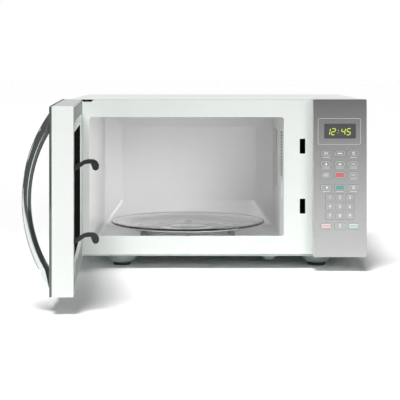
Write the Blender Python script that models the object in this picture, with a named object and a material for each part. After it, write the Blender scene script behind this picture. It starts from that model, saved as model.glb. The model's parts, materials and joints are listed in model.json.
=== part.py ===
"""Countertop microwave oven, built as separate pieces with the door standing open.

Metres, +Z up, the front towards -Y and the control panel on the right (+X).
The oven is modelled about its body: X = 0 at the body's middle, Y = 0 at the front
plate and Z = 0 at the bottom of the feet. At the end the whole assembly is moved so
that the origin is the middle of the footprint of everything, the open door included.
"""

from math import atan2, cos, pi, radians, sin, sqrt

import bmesh
import bpy
from mathutils import Matrix, Vector
from mathutils.geometry import tessellate_polygon

GAP = 0.0003

# Body
BODY_WIDTH = 0.485
BODY_TOP = 0.277
FRONT_BOTTOM = 0.024
CASE_DEPTH = 0.355
CASE_SHEET = 0.001
CASE_CORNER = 0.007
PLATE_SHEET = 0.001
PAN_SHEET = 0.0012
PAN_FLANGE = 0.014
PAN_LIP = 0.0027
BACK_INSET = 0.0013

# Cavity
CAVITY_FROM_SIDE = 0.0367
CAVITY_WIDTH = 0.317
CAVITY_FLOOR = 0.031
CAVITY_CEILING = 0.2485
CAVITY_DEPTH = 0.336
CAVITY_CORNER = 0.005
BACK_STAMP = 0.012
BACK_BORDER = 0.033
OPENING_BOTTOM = 0.0537
OPENING_TOP = 0.2472
OPENING_CORNER = 0.004
LINER_SHEET = 0.001

# Lamp vents and wave guide in the right wall of the cavity
VENT_COUNT = 15
VENT_RADIUS = 0.0013
VENT_DEPTH = 0.024
VENT_TOP = 0.217
VENT_PITCH = 0.0049
GUIDE_FRONT = 0.215
GUIDE_LENGTH = 0.078
GUIDE_WIDTH = 0.038
GUIDE_BOTTOM = 0.128
GUIDE_HEIGHT = 0.078
GUIDE_SHEET = 0.0012
GUIDE_COVER_MARGIN = 0.0105
GUIDE_COVER_SHEET = 0.001
ANTENNA_RADIUS = 0.010

# Turntable
TRAY_RADIUS = 0.135
TRAY_BASE_RADIUS = 0.098
TRAY_BOTTOM = 0.0449
TRAY_GLASS = 0.004
TRAY_RISE = 0.0145
TRAY_LUG = 0.005
TURNTABLE_DEPTH = 0.175
WHEEL_TRACK = 0.0885
WHEEL_WIDTH = 0.006
AXLE_RADIUS = 0.0015
AXLE_HEAD = 0.0024
RING_WIDTH = 0.009
RING_THICK = 0.003
SHAFT_RADIUS = 0.003
COUPLER_ARM = 0.021
COUPLER_THICK = 0.006
MOTOR_RADIUS = 0.025
MOTOR_HEIGHT = 0.014
WELL_CLEARANCE = 0.003

# Feet
FOOT_DEPTH = 0.051
FOOT_LEFT = 0.087
FOOT_RIGHT = 0.0735
FOOT_DOME_RADIUS = 0.0285
FOOT_FLAT_RADIUS = 0.0155
FOOT_PAD_RADIUS = 0.0145
FOOT_PAD_HEIGHT = 0.005
REAR_FOOT_DEPTH = 0.305
BUMP_FROM_RIGHT = 0.153
BUMP_DEPTH = 0.062
BUMP_RADIUS = 0.017
BUMP_FALL = 0.0075

# Door and control panel
DOOR_THICK = 0.033
DOOR_CLEARANCE = 0.0008
PANEL_WIDTH = 0.0856
DOOR_PANEL_GAP = 0.0009
GLASS_THICK = 0.003
DOOR_WALL = 0.003
DOOR_FRONT_WALL = 0.0025
DOOR_OPEN = radians(86.4)
HINGE_INSET = 0.012
HINGE_FORWARD = 0.016
HINGE_PIN_RADIUS = 0.003
HINGE_PIN_LENGTH = 0.014
HINGE_SHEET = 0.0023
HINGE_DROP = 0.0047
HINGE_ARM = 0.013
HINGE_LEG = 0.026
NOTCH_HEIGHT = 0.010
RELIEF_FROM_SIDE = 0.0337
RELIEF_TOP = 0.0205
RELIEF_BOTTOM = 0.013
RELIEF_DEPTH = 0.0035
WINDOW_MARGIN_X = 0.048
WINDOW_MARGIN_Z = 0.037
CHOKE_BAND = 0.0195
CHOKE_THICK = 0.0022
SCREEN_SHEET = 0.001
SCREEN_TUCK = 0.0015
SCREEN_RAISE = 0.005
SCREEN_BAND = 0.014
SCREEN_RECESS = 0.0022
SCREEN_SLOPE = 0.0015

# Handle
HANDLE_WIDTH = 0.022
HANDLE_FROM_EDGE = 0.014
HANDLE_CHORD = 0.236
HANDLE_SAGITTA = 0.038
HANDLE_INNER_CHORD = 0.182
HANDLE_INNER_SAGITTA = 0.025

# Latch
SLOT_FROM_DOOR_EDGE = 0.0185
SLOT_WIDTH = 0.0089
SLOT_HEIGHT = 0.0243
SLOT_CENTRES = (0.10205, 0.19985)
HOOK_THICK = 0.005
HOOK_SIDE_PLAY = 0.0009
HOOK_TRAVEL = 0.0035
LATCH_BAR_WIDTH = 0.008
LATCH_BAR_REACH = 0.022
LATCH_BAR_FRONT = 0.013
LATCH_BAR_THICK = 0.006
SPRING_LENGTH = 0.018
SPRING_RADIUS = 0.0032
SPRING_WIRE = 0.0005
SPRING_TURNS = 5

# Keys: distances from the panel's left edge and from its top edge
KEY_TRAVEL = 0.0005
KEY_PROUD = 0.0003
KEY_THICK = 0.0021
KEY_SIZE = (0.017, 0.0095)
DIGIT_SIZE = (0.0136, 0.0122)
FUNCTION_COLUMNS = (0.0205, 0.0425, 0.0645)
FUNCTION_ROWS = (0.0866, 0.1037, 0.1213, 0.1414)
DIGIT_PITCH = (0.0161, 0.0147)
DIGIT_TOP = 0.1573
BOTTOM_ROW = 0.2031
FASCIA_SHEET = 0.0012
PANEL_WALL = 0.0025
PANEL_FRONT_WALL = 0.002
DISPLAY_CENTRE = 0.0509
DISPLAY_SIZE = (0.050, 0.0232)
LENS_THICK = 0.001
BOARD_THICK = 0.0016

# Machine room on the right of the cavity
MAGNETRON_SIZE = (0.070, 0.080, 0.078)
TRANSFORMER_SIZE = (0.088, 0.086, 0.074)
CAPACITOR_SIZE = (0.052, 0.032, 0.084)
FAN_RADIUS = 0.048
FAN_FROM_RIGHT = 0.0645
FAN_HEIGHT = 0.160
FAN_MOTOR_SIZE = 0.044
GLAND_FROM_RIGHT = 0.0465
GLAND_Z = 0.060
GLAND_RADIUS = 0.0075
GLAND_BORE = 0.0042
GLAND_FLANGE = 0.011

# Worked out from the sizes above
BODY_LEFT = -BODY_WIDTH / 2
BODY_RIGHT = BODY_WIDTH / 2
BUMP_X = BODY_RIGHT - BUMP_FROM_RIGHT
FAN_CENTRE = (BODY_RIGHT - FAN_FROM_RIGHT, FAN_HEIGHT)
GLAND_X = BODY_RIGHT - GLAND_FROM_RIGHT
CAVITY_LEFT = BODY_LEFT + CAVITY_FROM_SIDE
CAVITY_RIGHT = CAVITY_LEFT + CAVITY_WIDTH
CAVITY_MIDDLE = CAVITY_LEFT + CAVITY_WIDTH / 2
PAN_TOP = FRONT_BOTTOM - GAP
PAN_BOTTOM = PAN_TOP - PAN_SHEET
INSIDE_LEFT = BODY_LEFT + CASE_SHEET + GAP
INSIDE_RIGHT = BODY_RIGHT - CASE_SHEET - GAP
INSIDE_TOP = BODY_TOP - CASE_SHEET - GAP
BEHIND_PLATE = PLATE_SHEET + GAP
PANEL_LEFT = BODY_RIGHT - PANEL_WIDTH
DOOR_RIGHT = PANEL_LEFT - DOOR_PANEL_GAP
SLOT_LEFT = DOOR_RIGHT - SLOT_FROM_DOOR_EDGE
HINGE_X = BODY_LEFT + HINGE_INSET
HINGE_Y = -HINGE_FORWARD
WHEEL_RADIUS = (TRAY_BOTTOM - CAVITY_FLOOR) / 2 - GAP
WHEEL_HEIGHT = (TRAY_BOTTOM + CAVITY_FLOOR) / 2
FRAME_FRONT = -DOOR_THICK + GLASS_THICK + GAP
CHOKE_LEFT = HINGE_X + DOOR_WALL / 2
HOOK_LEFT = SLOT_LEFT + HOOK_SIDE_PLAY
BACK_FRONT = CASE_DEPTH - BACK_INSET - PLATE_SHEET
PIN_LEVEL = BODY_TOP - HINGE_DROP

ALONG_Z = (0, 1, 2)
ALONG_Y = (0, 2, 1)
ALONG_X = (1, 2, 0)


def clear_scene():
    for piece in list(bpy.data.objects):
        bpy.data.objects.remove(piece, do_unlink=True)


def material(name, colour, roughness, metallic=0.0):
    made = bpy.data.materials.new(name)
    made.use_nodes = True
    shader = made.node_tree.nodes["Principled BSDF"]
    shader.inputs["Base Color"].default_value = (*colour, 1.0)
    shader.inputs["Roughness"].default_value = roughness
    shader.inputs["Metallic"].default_value = metallic
    return made


def empty(name, location, parent=None):
    made = bpy.data.objects.new(name, None)
    bpy.context.scene.collection.objects.link(made)
    made.location = location
    made.parent = parent
    return made


def put(u, v, w, axes):
    """A point with outline coordinates u, v and height w, laid along the chosen axes."""
    point = [0.0, 0.0, 0.0]
    point[axes[0]] = u
    point[axes[1]] = v
    point[axes[2]] = w
    return point


def piece_from(name, mesh_points, faces, finish, smooth=False):
    mesh = bpy.data.meshes.new(name)
    mesh.from_pydata(mesh_points, [], faces)
    shape = bmesh.new()
    shape.from_mesh(mesh)
    bmesh.ops.recalc_face_normals(shape, faces=shape.faces)
    shape.to_mesh(mesh)
    shape.free()
    mesh.materials.append(finish)
    if smooth:
        mesh.shade_smooth()
        mesh.set_sharp_from_angle(angle=radians(40))
    made = bpy.data.objects.new(name, mesh)
    bpy.context.scene.collection.objects.link(made)
    return made


def skin(name, rings, finish, closed=False, smooth=False):
    """A solid whose surface runs through rings of points: capped ends, or closed on itself."""
    count = len(rings[0])
    points = [point for ring in rings for point in ring]
    spans = len(rings) if closed else len(rings) - 1
    faces = []
    for span in range(spans):
        near = span * count
        far = (span + 1) % len(rings) * count
        for i in range(count):
            j = (i + 1) % count
            faces.append((near + i, near + j, far + j, far + i))
    if not closed:
        faces.append(tuple(range(count)))
        faces.append(tuple(range(len(points) - count, len(points))))
    return piece_from(name, points, faces, finish, smooth)


def prism(name, outline, low, high, axes, finish, smooth=False):
    rings = [[put(u, v, w, axes) for u, v in outline] for w in (low, high)]
    return skin(name, rings, finish, smooth=smooth)


def plate(name, outline, holes, low, high, axes, finish):
    """A flat plate with its outline and through holes."""
    loops = [outline] + holes
    flat = [point for loop in loops for point in loop]
    triangles = tessellate_polygon([[Vector((u, v, 0.0)) for u, v in loop] for loop in loops])
    total = len(flat)
    points = [put(u, v, w, axes) for w in (low, high) for u, v in flat]
    faces = [tuple(corner) for corner in triangles]
    faces += [tuple(corner + total for corner in reversed(face)) for face in triangles]
    start = 0
    for loop in loops:
        count = len(loop)
        for i in range(count):
            j = (i + 1) % count
            faces.append((start + i, start + j, start + j + total, start + i + total))
        start += count
    return piece_from(name, points, faces, finish)


def block(name, low, high, finish):
    outline = [(low[0], low[1]), (high[0], low[1]), (high[0], high[1]), (low[0], high[1])]
    return prism(name, outline, low[2], high[2], ALONG_Z, finish)


def arc(centre, radius, start, end, steps):
    turns = [start + (end - start) * i / steps for i in range(steps + 1)]
    return [(centre[0] + radius * cos(a), centre[1] + radius * sin(a)) for a in turns]


def circle(centre, radius, steps):
    return arc(centre, radius, 0.0, 2 * pi * (steps - 1) / steps, steps - 1)


def rounded(left, bottom, right, top, radius, steps=3):
    """A rectangle with round corners, run anticlockwise."""
    corners = (
        (right - radius, bottom + radius, -pi / 2),
        (right - radius, top - radius, 0.0),
        (left + radius, top - radius, pi / 2),
        (left + radius, bottom + radius, pi),
    )
    return [p for u, v, a in corners for p in arc((u, v), radius, a, a + pi / 2, steps)]


def turned(name, profile, finish, steps=32, closed=False, centre=(0.0, 0.0)):
    """A turned solid about a vertical axis; profile points are (radius, height)."""
    rings = [[(x, y, z) for x, y in circle(centre, r, steps)] for r, z in profile]
    return skin(name, rings, finish, closed=closed, smooth=True)


def combine(target, tools, operation):
    """Joins or cuts target with each tool, and removes the tool."""
    for tool in tools:
        step = target.modifiers.new(operation.lower(), "BOOLEAN")
        step.operation = operation
        step.solver = "EXACT"
        step.object = tool
        graph = bpy.context.evaluated_depsgraph_get()
        mesh = bpy.data.meshes.new_from_object(target.evaluated_get(graph))
        target.modifiers.clear()
        target.data = mesh
        bpy.data.objects.remove(tool, do_unlink=True)
    return target


def join(target, *tools):
    return combine(target, tools, "UNION")


def cut(target, *tools):
    return combine(target, tools, "DIFFERENCE")


def pivot_at(piece, point, parent=None, parent_at=(0.0, 0.0, 0.0)):
    """Moves a piece's origin to a point without moving its surface, under a parent there or elsewhere."""
    piece.data.transform(Matrix.Translation(-Vector(point)))
    piece.location = Vector(point) - Vector(parent_at)
    piece.parent = parent
    return piece


# Cabinet


def outer_case(paint):
    """Top and sides folded from one sheet, open below, in front and behind."""
    outer = CASE_CORNER
    inner = outer - CASE_SHEET
    left, right = BODY_LEFT, BODY_RIGHT
    outline = [(right, FRONT_BOTTOM)]
    outline += arc((right - outer, BODY_TOP - outer), outer, 0, pi / 2, 5)
    outline += arc((left + outer, BODY_TOP - outer), outer, pi / 2, pi, 5)
    outline += [(left, FRONT_BOTTOM), (left + CASE_SHEET, FRONT_BOTTOM)]
    outline += arc((left + outer, BODY_TOP - outer), inner, pi, pi / 2, 5)
    outline += arc((right - outer, BODY_TOP - outer), inner, pi / 2, 0, 5)
    outline += [(right - CASE_SHEET, FRONT_BOTTOM)]
    return prism("outer_case", outline, 0.0, CASE_DEPTH, ALONG_Y, paint, smooth=True)


def inside_outline(bottom):
    """What fits inside the folded case: square at the bottom, round at the top corners."""
    radius = CASE_CORNER - CASE_SHEET
    outline = [(INSIDE_LEFT, bottom), (INSIDE_RIGHT, bottom)]
    outline += arc((INSIDE_RIGHT - radius, INSIDE_TOP - radius), radius, 0, pi / 2, 4)
    outline += arc((INSIDE_LEFT + radius, INSIDE_TOP - radius), radius, pi / 2, pi, 4)
    return outline


def front_plate(paint):
    """Front of the chassis: cavity opening, latch slots, hinge slots and a corner relief."""
    holes = [rounded(CAVITY_LEFT, OPENING_BOTTOM, CAVITY_RIGHT, OPENING_TOP, OPENING_CORNER)]
    for centre in SLOT_CENTRES:
        low = centre - SLOT_HEIGHT / 2
        holes.append(rounded(SLOT_LEFT, low, SLOT_LEFT + SLOT_WIDTH, low + SLOT_HEIGHT, 0.0006, 1))
    half = HINGE_ARM / 2 + GAP
    for low in (PIN_LEVEL - HINGE_SHEET - GAP, FRONT_BOTTOM + HINGE_DROP - GAP):
        high = low + HINGE_SHEET + 2 * GAP
        near, far = HINGE_X - half, HINGE_X + half
        holes.append([(near, low), (far, low), (far, high), (near, high)])
    middle = BODY_LEFT + RELIEF_FROM_SIDE
    floor = INSIDE_TOP - RELIEF_DEPTH
    outline = inside_outline(FRONT_BOTTOM)
    relief = [(middle + RELIEF_TOP / 2, INSIDE_TOP), (middle + RELIEF_BOTTOM / 2, floor)]
    relief += [(middle - RELIEF_BOTTOM / 2, floor), (middle - RELIEF_TOP / 2, INSIDE_TOP)]
    outline = outline[:7] + relief + outline[7:]
    return plate("front_plate", outline, holes, 0.0, PLATE_SHEET, ALONG_Y, paint)


def back_panel(paint):
    """Rear sheet with the fan's outlet slots and the cord's hole."""
    holes = [circle((GLAND_X, GLAND_Z), GLAND_RADIUS + GAP, 16)]
    for row in range(9):
        low = FAN_CENTRE[1] - 0.036 + row * 0.008
        holes.append(rounded(FAN_CENTRE[0] - 0.038, low, FAN_CENTRE[0] + 0.038, low + 0.0036, 0.0017, 2))
    low = FRONT_BOTTOM
    outline = inside_outline(low)
    return plate("back_panel", outline, holes, BACK_FRONT, BACK_FRONT + PLATE_SHEET, ALONG_Y, paint)


def cup_profile(mouth, flat, fall):
    """Radii and drops of a round cup pressed down from the sheet, from its mouth to its floor."""
    middle = (mouth + flat) / 2
    shoulder = middle + (mouth - middle) * 0.55
    return [(mouth, 0.0), (shoulder, fall * 0.5), (middle - 0.001, fall * 0.85), (flat, fall)]


def pressed_sheet(name, outline, cups, low, thick, finish, steps=24):
    """A flat sheet with round cups pressed down out of it; each cup is (centre, mouth, flat, fall)."""
    points = []
    faces = []
    borders = []
    for top in (True, False):
        level = low + thick if top else low
        shrink = thick * 0.8 if top else 0.0
        mouths = [circle(centre, mouth - shrink, steps) for centre, mouth, _, _ in cups]
        loops = [outline] + mouths
        start = len(points)
        points += [(x, y, level) for loop in loops for x, y in loop]
        flat_loops = [[Vector((x, y, 0.0)) for x, y in loop] for loop in loops]
        faces += [tuple(start + i for i in face) for face in tessellate_polygon(flat_loops)]
        borders.append(start)
        first = start + len(outline)
        for centre, mouth, flat, fall in cups:
            above = first
            for radius, drop in cup_profile(mouth, flat, fall)[1:]:
                below = len(points)
                points += [(x, y, level - drop) for x, y in circle(centre, radius - shrink, steps)]
                for i in range(steps):
                    j = (i + 1) % steps
                    faces.append((above + i, above + j, below + j, below + i))
                above = below
            faces.append(tuple(range(above, above + steps)))
            first += steps
    for i in range(len(outline)):
        j = (i + 1) % len(outline)
        faces.append((borders[0] + i, borders[0] + j, borders[1] + j, borders[1] + i))
    return piece_from(name, points, faces, finish)


def foot_places():
    """Centres of the two front feet and the two rear domes that stand on the floor."""
    left = BODY_LEFT + FOOT_LEFT
    right = BODY_RIGHT - FOOT_RIGHT
    return (left, FOOT_DEPTH), (right, FOOT_DEPTH), (left, REAR_FOOT_DEPTH), (right, REAR_FOOT_DEPTH)


def base_plate(paint):
    """Pan under everything, with side flanges, a front lip, foot domes and the motor's well."""
    left, right = INSIDE_LEFT, INSIDE_RIGHT
    front, rear = BEHIND_PLATE, BACK_FRONT - GAP
    mouth, flat = FOOT_DOME_RADIUS, FOOT_FLAT_RADIUS
    well = MOTOR_RADIUS + WELL_CLEARANCE
    motor_low = CAVITY_FLOOR - LINER_SHEET - GAP - MOTOR_HEIGHT
    cups = [(centre, mouth, flat, PAN_BOTTOM - FOOT_PAD_HEIGHT) for centre in foot_places()[:2]]
    cups += [(centre, mouth, flat, PAN_BOTTOM) for centre in foot_places()[2:]]
    cups.append(((BUMP_X, BUMP_DEPTH), BUMP_RADIUS, BUMP_RADIUS * 0.45, BUMP_FALL))
    cups.append(((CAVITY_MIDDLE, TURNTABLE_DEPTH), well + 0.010, well, PAN_TOP - motor_low + GAP))
    outline = [(left, front), (right, front), (right, rear), (left, rear)]
    pan = pressed_sheet("base_plate", outline, cups, PAN_BOTTOM, PAN_SHEET, paint)
    deep = PAN_SHEET / 2
    side = PAN_TOP + PAN_FLANGE
    left_flange = block("left_flange", (left, front, PAN_TOP - deep), (left + PAN_SHEET, rear, side), paint)
    inner = right - PAN_SHEET
    right_flange = block("right_flange", (inner, front, PAN_TOP - deep), (right, rear, side), paint)
    lip = block("lip", (left, front, PAN_TOP - PAN_LIP), (right, front + PAN_SHEET, PAN_TOP - deep), paint)
    return join(pan, left_flange, right_flange, lip)


def foot_pad(name, centre, rubber):
    """Rubber pad under a front dome, slightly narrower at the floor."""
    top = FOOT_PAD_HEIGHT - GAP
    low = FOOT_PAD_RADIUS - 0.0012
    profile = [(low, 0.0), (FOOT_PAD_RADIUS, 0.0012), (FOOT_PAD_RADIUS, top - 0.0008), (low, top)]
    return turned(name, profile, rubber, 20, centre=centre)


def cord_gland(plastic):
    """Bush that lines the cord's hole in the rear panel; the cord itself is left out."""
    outside = BACK_FRONT + PLATE_SHEET + GAP
    inside = BACK_FRONT - GAP - 0.003
    profile = [
        (GLAND_BORE, outside + 0.003),
        (GLAND_FLANGE - 0.001, outside + 0.003),
        (GLAND_FLANGE, outside + 0.002),
        (GLAND_FLANGE, outside),
        (GLAND_RADIUS, outside),
        (GLAND_RADIUS, inside),
        (GLAND_BORE, inside),
    ]
    rings = [[(x, y, z) for x, z in circle((GLAND_X, GLAND_Z), r, 16)] for r, y in profile]
    return skin("cord_gland", rings, plastic, closed=True, smooth=True)


# Cavity


def cavity_rings(grow):
    """The cavity's surface from the back panel's flat middle to the front rim, grown outwards."""
    left, right = CAVITY_LEFT - grow, CAVITY_RIGHT + grow
    low, high = CAVITY_FLOOR - grow, CAVITY_CEILING + grow
    rear = BEHIND_PLATE + CAVITY_DEPTH + grow
    fold = rear - BACK_STAMP
    radius = CAVITY_CORNER + grow
    inset = BACK_BORDER
    flat = rounded(left + inset, low + inset, right - inset, high - inset, radius, 4)
    full = rounded(left, low, right, high, radius, 4)
    near = BEHIND_PLATE
    return [[(x, y, z) for x, z in outline] for outline, y in ((flat, rear), (full, fold), (full, near))]


def cavity_liner(enamel):
    """Welded oven cavity with its stamped back, lamp vents, shaft hole and wave guide."""
    inner = cavity_rings(0.0)
    outer = cavity_rings(LINER_SHEET)
    liner = skin("cavity_liner", inner + outer[::-1], enamel)
    wall = CAVITY_RIGHT + LINER_SHEET
    front, low = GUIDE_FRONT, GUIDE_BOTTOM
    rear, high = front + GUIDE_LENGTH, low + GUIDE_HEIGHT
    t = GUIDE_SHEET
    guide = block("guide", (wall - LINER_SHEET / 2, front, low), (wall + GUIDE_WIDTH, rear, high), enamel)
    join(liner, guide)
    port_low = (CAVITY_RIGHT - 0.004, front + t, low + t)
    port = block("port", port_low, (wall + GUIDE_WIDTH - t, rear - t, high - t), enamel)
    middle = (front + GUIDE_LENGTH / 2, low + GUIDE_HEIGHT / 2)
    antenna = circle(middle, ANTENNA_RADIUS + 0.001, 16)
    inside, outside = wall + GUIDE_WIDTH / 2, wall + GUIDE_WIDTH + 0.01
    antenna_hole = prism("antenna_hole", antenna, inside, outside, ALONG_X, enamel)
    shaft = circle((CAVITY_MIDDLE, TURNTABLE_DEPTH), SHAFT_RADIUS + 0.002, 16)
    shaft_hole = prism("shaft_hole", shaft, CAVITY_FLOOR - 0.004, CAVITY_FLOOR + 0.004, ALONG_Z, enamel)
    cut(liner, port, antenna_hole, shaft_hole)
    for i in range(VENT_COUNT):
        hole = circle((VENT_DEPTH, VENT_TOP - i * VENT_PITCH), VENT_RADIUS, 6)
        cut(liner, prism(f"vent_{i}", hole, CAVITY_RIGHT - 0.004, CAVITY_RIGHT + 0.004, ALONG_X, enamel))
    return liner


def waveguide_cover(mica):
    """Mica sheet clipped over the wave guide's port inside the cavity."""
    margin = GUIDE_COVER_MARGIN
    front, low = GUIDE_FRONT - margin, GUIDE_BOTTOM - margin
    rear = GUIDE_FRONT + GUIDE_LENGTH + margin
    high = GUIDE_BOTTOM + GUIDE_HEIGHT + margin
    outline = rounded(front, low, rear, high, 0.003, 2)
    outside = CAVITY_RIGHT - GAP
    return prism("waveguide_cover", outline, outside - GUIDE_COVER_SHEET, outside, ALONG_X, mica)


def turntable_tray(glass):
    """Round glass tray: flat base, sloping rim with a round edge, three drive lugs below."""
    low = TRAY_BOTTOM
    thick = TRAY_GLASS
    edge = low + TRAY_RISE
    profile = [
        (0.004, low),
        (TRAY_BASE_RADIUS, low),
        (TRAY_BASE_RADIUS + 0.003, low + 0.0009),
        (TRAY_RADIUS - 0.003, edge - 0.0042),
        (TRAY_RADIUS - 0.0006, edge - 0.0028),
        (TRAY_RADIUS, edge - 0.0014),
        (TRAY_RADIUS - 0.0008, edge - 0.0002),
        (TRAY_RADIUS - 0.0024, edge),
        (TRAY_RADIUS - 0.004, edge - 0.0006),
        (TRAY_BASE_RADIUS + 0.002, low + thick + 0.0012),
        (TRAY_BASE_RADIUS - 0.002, low + thick),
        (0.004, low + thick),
    ]
    tray = turned("turntable_tray", profile, glass, 48)
    for i in range(3):
        round_lug = circle((0.0155, 0.0), 0.0035, 10)
        lug = prism(f"lug_{i}", round_lug, low - TRAY_LUG, low + thick / 2, ALONG_Z, glass)
        lug.data.transform(Matrix.Rotation(radians(60 + 120 * i), 4, "Z"))
        join(tray, lug)
    return tray


def drive_coupler(plastic):
    """Three-armed star on the motor's shaft, between the tray's lugs."""
    top = TRAY_BOTTOM - GAP
    low = top - COUPLER_THICK
    bottom = CAVITY_FLOOR - LINER_SHEET - GAP - MOTOR_HEIGHT / 2
    star = prism("drive_coupler", circle((0, 0), 0.0085, 18), low, top, ALONG_Z, plastic, smooth=True)
    for i in range(3):
        arm = block(f"arm_{i}", (0.003, -0.003, low), (COUPLER_ARM, 0.003, top), plastic)
        arm.data.transform(Matrix.Rotation(radians(120 * i), 4, "Z"))
        join(star, arm)
    stem = prism("stem", circle((0, 0), SHAFT_RADIUS, 12), bottom, low + COUPLER_THICK / 2, ALONG_Z, plastic)
    return join(star, stem)


def turntable_motor(steel):
    """Flat geared motor under the cavity floor, with the well for the shaft."""
    top = CAVITY_FLOOR - LINER_SHEET - GAP
    low = top - MOTOR_HEIGHT
    socket = top - MOTOR_HEIGHT / 2 - 0.001
    bore = SHAFT_RADIUS + GAP
    profile = [
        (0.004, low),
        (MOTOR_RADIUS - 0.001, low),
        (MOTOR_RADIUS, low + 0.001),
        (MOTOR_RADIUS, top - 0.001),
        (MOTOR_RADIUS - 0.001, top),
        (bore, top),
        (bore, socket),
    ]
    return turned("turntable_motor", profile, steel, 24)


def roller_ring(plastic):
    """Flat ring with three radial axles for the wheels."""
    high = WHEEL_HEIGHT + RING_THICK / 2
    low = WHEEL_HEIGHT - RING_THICK / 2
    outer = WHEEL_TRACK - WHEEL_WIDTH / 2 - 0.0015
    inner = outer - RING_WIDTH
    profile = [(inner, low), (outer, low), (outer, high), (inner, high)]
    ring = turned("roller_ring", profile, plastic, 48, closed=True)
    far = WHEEL_TRACK + WHEEL_WIDTH / 2 + 0.0005
    for i in range(3):
        thin = circle((0, WHEEL_HEIGHT), AXLE_RADIUS, 8)
        wide = circle((0, WHEEL_HEIGHT), AXLE_HEAD, 8)
        axle = prism(f"axle_{i}", thin, outer - 0.003, far + 0.0005, ALONG_X, plastic)
        head = prism(f"head_{i}", wide, far, far + 0.0012, ALONG_X, plastic)
        for piece in (axle, head):
            piece.data.transform(Matrix.Rotation(wheel_turn(i), 4, "Z"))
            join(ring, piece)
    return ring


def wheel_turn(i):
    return radians(90 + 120 * i)


def roller_wheel(i, plastic):
    """Small wheel between the cavity floor and the tray, on its radial axle."""
    half = WHEEL_WIDTH / 2
    bore = AXLE_RADIUS + GAP
    profile = [
        (bore, -half),
        (WHEEL_RADIUS - 0.0006, -half),
        (WHEEL_RADIUS, -half + 0.0006),
        (WHEEL_RADIUS, half - 0.0006),
        (WHEEL_RADIUS - 0.0006, half),
        (bore, half),
    ]
    rings = [[(w, u, v) for u, v in circle((0, 0), r, 20)] for r, w in profile]
    return skin(f"roller_wheel_{i + 1}", rings, plastic, closed=True, smooth=True)


def cavity_lamp(glass):
    """Small bulb with its holder, beside the vent holes outside the cavity wall."""
    x, y, z = CAVITY_RIGHT + 0.014, VENT_DEPTH, VENT_TOP - 0.035
    profile = [(0.003, z - 0.016), (0.0075, z - 0.013), (0.009, z - 0.004)]
    profile += [(0.006, z + 0.004), (0.0045, z + 0.008)]
    bulb = turned("cavity_lamp", profile, glass, 14, centre=(x, y))
    holder = block("holder", (x - 0.008, y - 0.008, z + 0.006), (x + 0.008, y + 0.008, z + 0.022), glass)
    return join(bulb, holder)


# Control panel


def panel_housing(plastic):
    """White box behind the control panel's face, open at the back."""
    left, right = PANEL_LEFT, BODY_RIGHT
    low, high = FRONT_BOTTOM, BODY_TOP
    front = -DOOR_THICK + FASCIA_SHEET + GAP
    t = PANEL_WALL
    box = prism("panel_housing", rounded(left, low, right, high, 0.0015, 2), front, -GAP, ALONG_Y, plastic)
    inner_low = (left + t, front + PANEL_FRONT_WALL, low + t)
    hollow = block("hollow", inner_low, (right - t, 0.01, high - t), plastic)
    margin = 0.004
    window_low = (left + margin, front - 0.01, low + 0.03)
    window = block("window", window_low, (right - margin, front + 0.01, high - 0.02), plastic)
    return cut(box, hollow, window)


def key_places():
    """Every key: name, distances from the panel's left and top edges, and size."""
    keys = []
    for r, row in enumerate(FUNCTION_ROWS):
        for c, column in enumerate(FUNCTION_COLUMNS):
            keys.append((f"key_program_{3 * r + c + 1}", column, row, KEY_SIZE))
    middle = FUNCTION_COLUMNS[1]
    for digit in range(9):
        column = middle + (digit % 3 - 1) * DIGIT_PITCH[0]
        row = DIGIT_TOP + digit // 3 * DIGIT_PITCH[1]
        keys.append((f"key_{digit + 1}", column, row, DIGIT_SIZE))
    for name, column in zip(("key_stop", "key_0", "key_start"), FUNCTION_COLUMNS):
        keys.append((name, column, BOTTOM_ROW, KEY_SIZE))
    return keys


def key_outline(across, down, size, grow):
    x = PANEL_LEFT + across
    z = BODY_TOP - down
    half = size[0] / 2 + grow
    tall = size[1] / 2 + grow
    radius = min(0.002, tall * 0.4) + grow
    return rounded(x - half, z - tall, x + half, z + tall, radius, 2)


def display_rectangle(grow):
    x = PANEL_LEFT + PANEL_WIDTH / 2
    z = BODY_TOP - DISPLAY_CENTRE
    half = DISPLAY_SIZE[0] / 2 + grow
    tall = DISPLAY_SIZE[1] / 2 + grow
    return rounded(x - half, z - tall, x + half, z + tall, 0.001, 1)


def panel_fascia(silver):
    """Silver face with an opening for every key and for the display."""
    outline = rounded(PANEL_LEFT, FRONT_BOTTOM, BODY_RIGHT, BODY_TOP, 0.0015, 2)
    holes = [key_outline(across, down, size, GAP) for _, across, down, size in key_places()]
    holes.append(display_rectangle(GAP))
    front = -DOOR_THICK
    return plate("panel_fascia", outline, holes, front, front + FASCIA_SHEET, ALONG_Y, silver)


def key_pad(name, across, down, size, finish):
    front = -DOOR_THICK - KEY_PROUD
    return prism(name, key_outline(across, down, size, 0.0), front, front + KEY_THICK, ALONG_Y, finish)


def display_lens(glass):
    front = -DOOR_THICK
    return prism("display_lens", display_rectangle(0.0), front, front + LENS_THICK, ALONG_Y, glass)


def control_board(board):
    """Circuit board behind the keys, with the display's module on its front."""
    t = PANEL_WALL + 0.001
    wall_back = -DOOR_THICK + FASCIA_SHEET + GAP + PANEL_FRONT_WALL
    keys_pressed = -DOOR_THICK - KEY_PROUD + KEY_THICK + KEY_TRAVEL
    front = max(wall_back, keys_pressed) + 2 * GAP
    low = FRONT_BOTTOM + t
    high = BODY_TOP - t
    corner = (PANEL_LEFT + t, front, low)
    sheet = block("control_board", corner, (BODY_RIGHT - t, front + BOARD_THICK, high), board)
    face = -DOOR_THICK + LENS_THICK + 2 * GAP
    module = prism("module", display_rectangle(0.0008), face, front + BOARD_THICK / 2, ALONG_Y, board)
    return join(sheet, module)


# Door, modelled closed


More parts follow.
